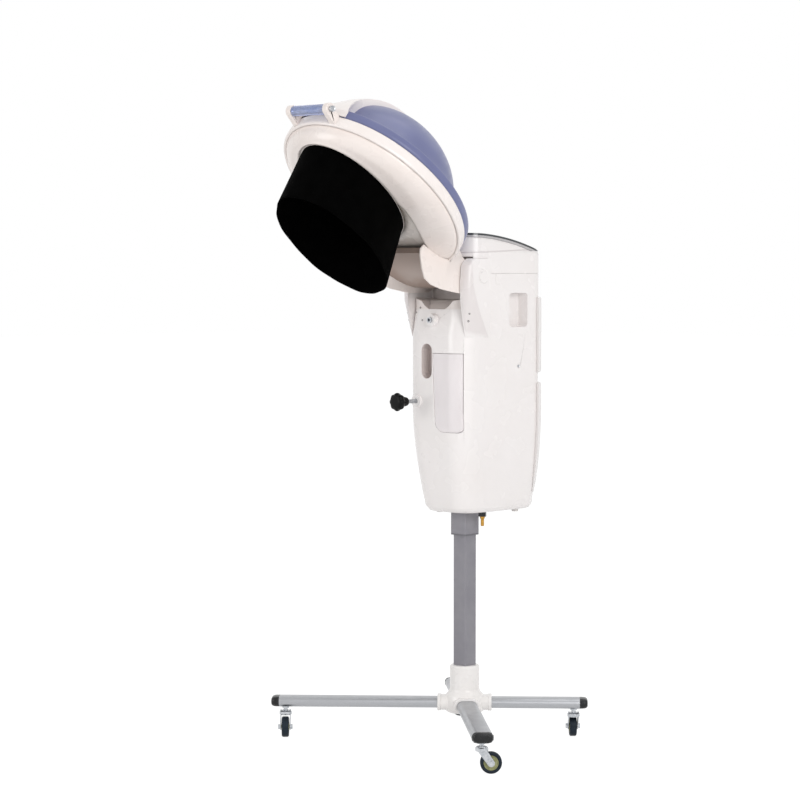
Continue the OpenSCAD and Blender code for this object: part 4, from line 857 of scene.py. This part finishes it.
on_handle("handle_bar", turned_pin(12, -52.5, 52.5, 72), grip_pc, 1.5, 4)
on_handle("handle_rod", turned_pin(5, -70, 70), zinc, 0.8)
pin = turned_pin(7, 67.2, 76)
outer_face = max(pin.faces, key=lambda f: f.calc_center_median().x)
bmesh.ops.inset_region(pin, faces=[outer_face], thickness=3.2 * MM, depth=-2.5 * MM)
on_handle("handle_pin_head", pin, zinc, 0.6)
on_handle("handle_far_screw", turned_pin(4.5, -72.5, -67.2), black_nylon, 0.8)
remoulded("handle_brackets", hood_abs, 1.2, 40.0, 3)
print("handle: bar, rod, two heads and brackets")

# %% [markdown]
# ## The tower
# The housing, its covers and its cap are the solids' own shapes with moulded edges. Their corners
# are already true to within half a millimetre, so only the shading and the edges need work. The walls
# of the finger slot and of the saddle between the cheeks get darker colours of their own, painted
# shade, which go on the faces whose centres lie in two boxes.

# %% Housing, covers and cap
housing = remoulded("body_shell", housing_abs, 0.6, 40.0)
remoulded("upper_rear_cover", cover_abs, 0.8, 40.0)
remoulded("lower_rear_cover", cover_abs, 0.8, 40.0)
remoulded("top_cap", cap_abs, 0.8, 40.0)
remoulded("control_panel", panel_acrylic, 0.8, 40.0)
remoulded("water_bottle", bottle_pe, 1.5, 40.0, 3)
remoulded("pivot_caps", housing_abs, 0.6, 40.0)
housing.data.materials.append(slot_painted_shade)
housing.data.materials.append(saddle_painted_shade)
slot_box = ((-39.6, -4.4), (-111.5, -80), (879, 965))
saddle_box = ((-86, 86), (-105, -1), (1046, 1110))


def inside(place, box):
    """Whether a place in mm lies in a box of three ranges."""
    return all(low < v < high for v, (low, high) in zip(place, box))


# Painted shade: faces in the slot box and the saddle box take the two darker materials.
for polygon in housing.data.polygons:
    centre = polygon.center / MM
    if inside(centre, slot_box):
        polygon.material_index = 1
    if inside(centre, saddle_box) and polygon.normal.z > -0.5:
        polygon.material_index = 2
counts = [sum(p.material_index == k for p in housing.data.polygons) for k in (0, 1, 2)]
print("housing: %d faces outside, %d in the slot, %d in the saddle" % tuple(counts))

# %% [markdown]
# ## Screws and clips on the housing
# Self-tapping screws hold the mouldings together: one in the recess on each side, two on each
# cheek and three beside the saddle. A head is a short cone with its top face inset and sunk. Small
# L-shaped clips hold the cap at its front corners.

# %% Screws and clips
def screw_head(bm, place, facing, radius):
    """Adds a screw head with a sunk drive to a bmesh. place is in mm."""
    towards = Vector(facing).normalized().to_track_quat("Z", "Y").to_matrix().to_4x4()
    where = Matrix.Translation(Vector(place) * MM) @ towards
    made = bmesh.ops.create_cone(bm, cap_ends=True, segments=24, radius1=radius * MM,
                                 radius2=radius * 0.86 * MM, depth=1.6 * MM, matrix=where)["verts"]
    faces = {f for v in made for f in v.link_faces}
    ends = (f for f in faces if len(f.verts) > 4)
    top = max(ends, key=lambda f: (where.inverted() @ f.calc_center_median()).z)
    bmesh.ops.inset_region(bm, faces=[top], thickness=radius * 0.4 * MM, depth=-0.9 * MM)


bm = bmesh.new()
for side in (-1, 1):
    screw_head(bm, (side * 102.4, -95.3, 1036.9), (side * 0.79, -0.58, -0.2), 2.2)
    screw_head(bm, (side * 98.4, -94.5, 1019.2), (side * 0.77, -0.6, -0.21), 2.6)
beside_saddle = [((-55.2, -98.7, 1049.9), (-0.13, -0.99, 0.0)),
                 ((-72, -94.5, 1038.1), (-0.38, -0.91, 0.18)),
                 ((-42.5, -105.2, 1019.9), (0.0, -0.98, 0.19))]
for place, facing in beside_saddle:
    screw_head(bm, place, facing, 2.2)
finished("housing_screws", bm, "tower", screw_black, (), 0.0, 30.0)
bm = bmesh.new()
for side in (-1, 1):
    screw_head(bm, (side * 98.4, 84, 908), (side, 0, 0), 3.8)
finished("recessed_screws", bm, "tower", zinc, (), 0.0, 30.0)
bm = bmesh.new()
for side in (-1, 1):
    outline = [(0.6, 1132), (0.6, 1106), (16, 1106), (16, 1107.6), (2.4, 1107.6), (2.4, 1132)]
    corners = [bm.verts.new((side * 99.6 * MM, y * MM, z * MM)) for y, z in outline]
    clip = bm.faces.new(corners if side > 0 else corners[::-1])
    raised = bmesh.ops.extrude_face_region(bm, geom=[clip])["geom"]
    raised = [g for g in raised if isinstance(g, bmesh.types.BMVert)]
    bmesh.ops.translate(bm, vec=(side * 1.2 * MM, 0, 0), verts=raised)
bmesh.ops.recalc_face_normals(bm, faces=bm.faces)
finished("cap_clips", bm, "tower", cover_abs, (), 0.25, 30.0)
print("6 screws on the sides, 3 beside the saddle, 2 clips")

# %% [markdown]
# ## The clamp knob
# A round knob of black nylon with eight shallow lobes and a short hub. A circle is grown into the
# knob's section ring by ring, and each ring is then pushed out at the lobes and in between them. A
# smooth wave gives the rounded valleys that a hand needs.

# %% Clamp knob
# Both sections are (radius, height) along the stud, which points forward from the housing.
knob_section = [(0.5, 38.0), (11, 38), (15.5, 39), (19, 41.6), (20.8, 45.5), (21.2, 49.5), (20.6, 53),
                (18, 56.2), (13.5, 57.8), (8, 58.2), (0.5, 58.0)]
neck_section = [(4.6, 0), (4.6, 16), (7.5, 16.5), (10.5, 19), (11.6, 24), (11.8, 30), (11.4, 39)]
knob_lobes, lobe_share, lobes_from, lobes_run = 8, 0.05, 13.0, 6.0
forward = Matrix.Translation((-0.053, -0.132, 0.825)) @ Matrix.Rotation(math.pi / 2, 4, "X")
bm, hub_end, face_end = grown([(r, r, 0, z) for r, z in knob_section], 128)
for v in bm.verts:
    r = math.hypot(v.co.x, v.co.y) / MM
    swell = max(0.0, min(1.0, (r - lobes_from) / lobes_run))
    push = 1.0 + swell * lobe_share * math.cos(knob_lobes * math.atan2(v.co.y, v.co.x))
    v.co.x, v.co.y = v.co.x * push, v.co.y * push
for loop, height in ((hub_end, 38.0), (face_end, 58.2)):
    end = list({v for e in loop for v in e.verts})
    bmesh.ops.pointmerge(bm, verts=end, merge_co=Vector((0, 0, height * MM)))
bmesh.ops.recalc_face_normals(bm, faces=bm.faces)
bmesh.ops.transform(bm, matrix=forward, verts=bm.verts)
knob = finished("star_knob", bm, "knob", black_nylon, ("knob_head",), 0.0, 45.0)
bm, back_end, front_end = grown([(r, r, 0, z) for r, z in neck_section], 64)
bmesh.ops.holes_fill(bm, edges=back_end + front_end, sides=0)
bmesh.ops.recalc_face_normals(bm, faces=bm.faces)
bmesh.ops.transform(bm, matrix=forward, verts=bm.verts)
finished("star_knob_neck", bm, "knob", black_nylon, ("knob_head",), 0.4, 45.0)
print("knob:", len(knob.data.polygons), "faces")

# %% [markdown]
# ## The stand
# Hub, legs, caps and casters are the solids' own shapes. The legs' lines run along them, so two of
# the four legs take the metal that is turned the other way.

# %% Stand and casters
remoulded("base_hub", hub_abs, 1.0, 40.0, 3)
for leg, metal in (("leg_front_far", alloy_one), ("leg_front_near", alloy_two),
                   ("leg_rear_near", alloy_one), ("leg_rear_far", alloy_two)):
    remoulded(leg, metal, 0.5, 40.0)
remoulded("leg_end_caps", black_abs, 0.6, 40.0)
remoulded("inner_column", column_paint, 0.5, 40.0)
remoulded("column_sleeve", column_paint, 0.6, 40.0)
for n in "1234":
    remoulded("caster_fork_" + n, zinc, 0.4, 35.0)
    remoulded("wheel_core_" + n, core_nylon, 0.3, 35.0)
    remoulded("wheel_tyre_" + n, tyre_rubber, 0.0, 35.0)
print("stand: hub, 4 legs, column and 4 casters")

# %% [markdown]
# ## The rest of the solids
# Pieces inside the housing and small plain ones keep their solids and get their finishes.

# %% Finishes for the solids that stay
stay = {
    zinc: ["caster_stems", "knob_stud", "stop_pin", "tilt_pins"],
    bush_nylon: ["sleeve_bush"], galvanised: ["chassis"], display_acrylic: ["display_window"],
    key_plastic: ["power_key", "time_key", "heat_key"], valve_plastic: ["bottle_valve"],
    hose_silicone: ["feed_pipe", "steam_hose"], stainless: ["boiler"], copper: ["heating_element"],
    board_mask: ["control_board"], black_abs: ["mains_inlet", "drain_nut", "valve_seat"],
    brass: ["drain_tail"], cast_alloy: ["clamp_block"], foot_pvc: ["foot_pads"],
}
for material, names in stay.items():
    for name in names:
        mesh = nodes[name].data
        mesh.materials.clear()
        mesh.materials.append(material)
given = {name for names in stay.values() for name in names}
left = [n for n, o in nodes.items() if not o.hide_render and n not in given]
print("finished solids:", len(given), "left without one:", left)
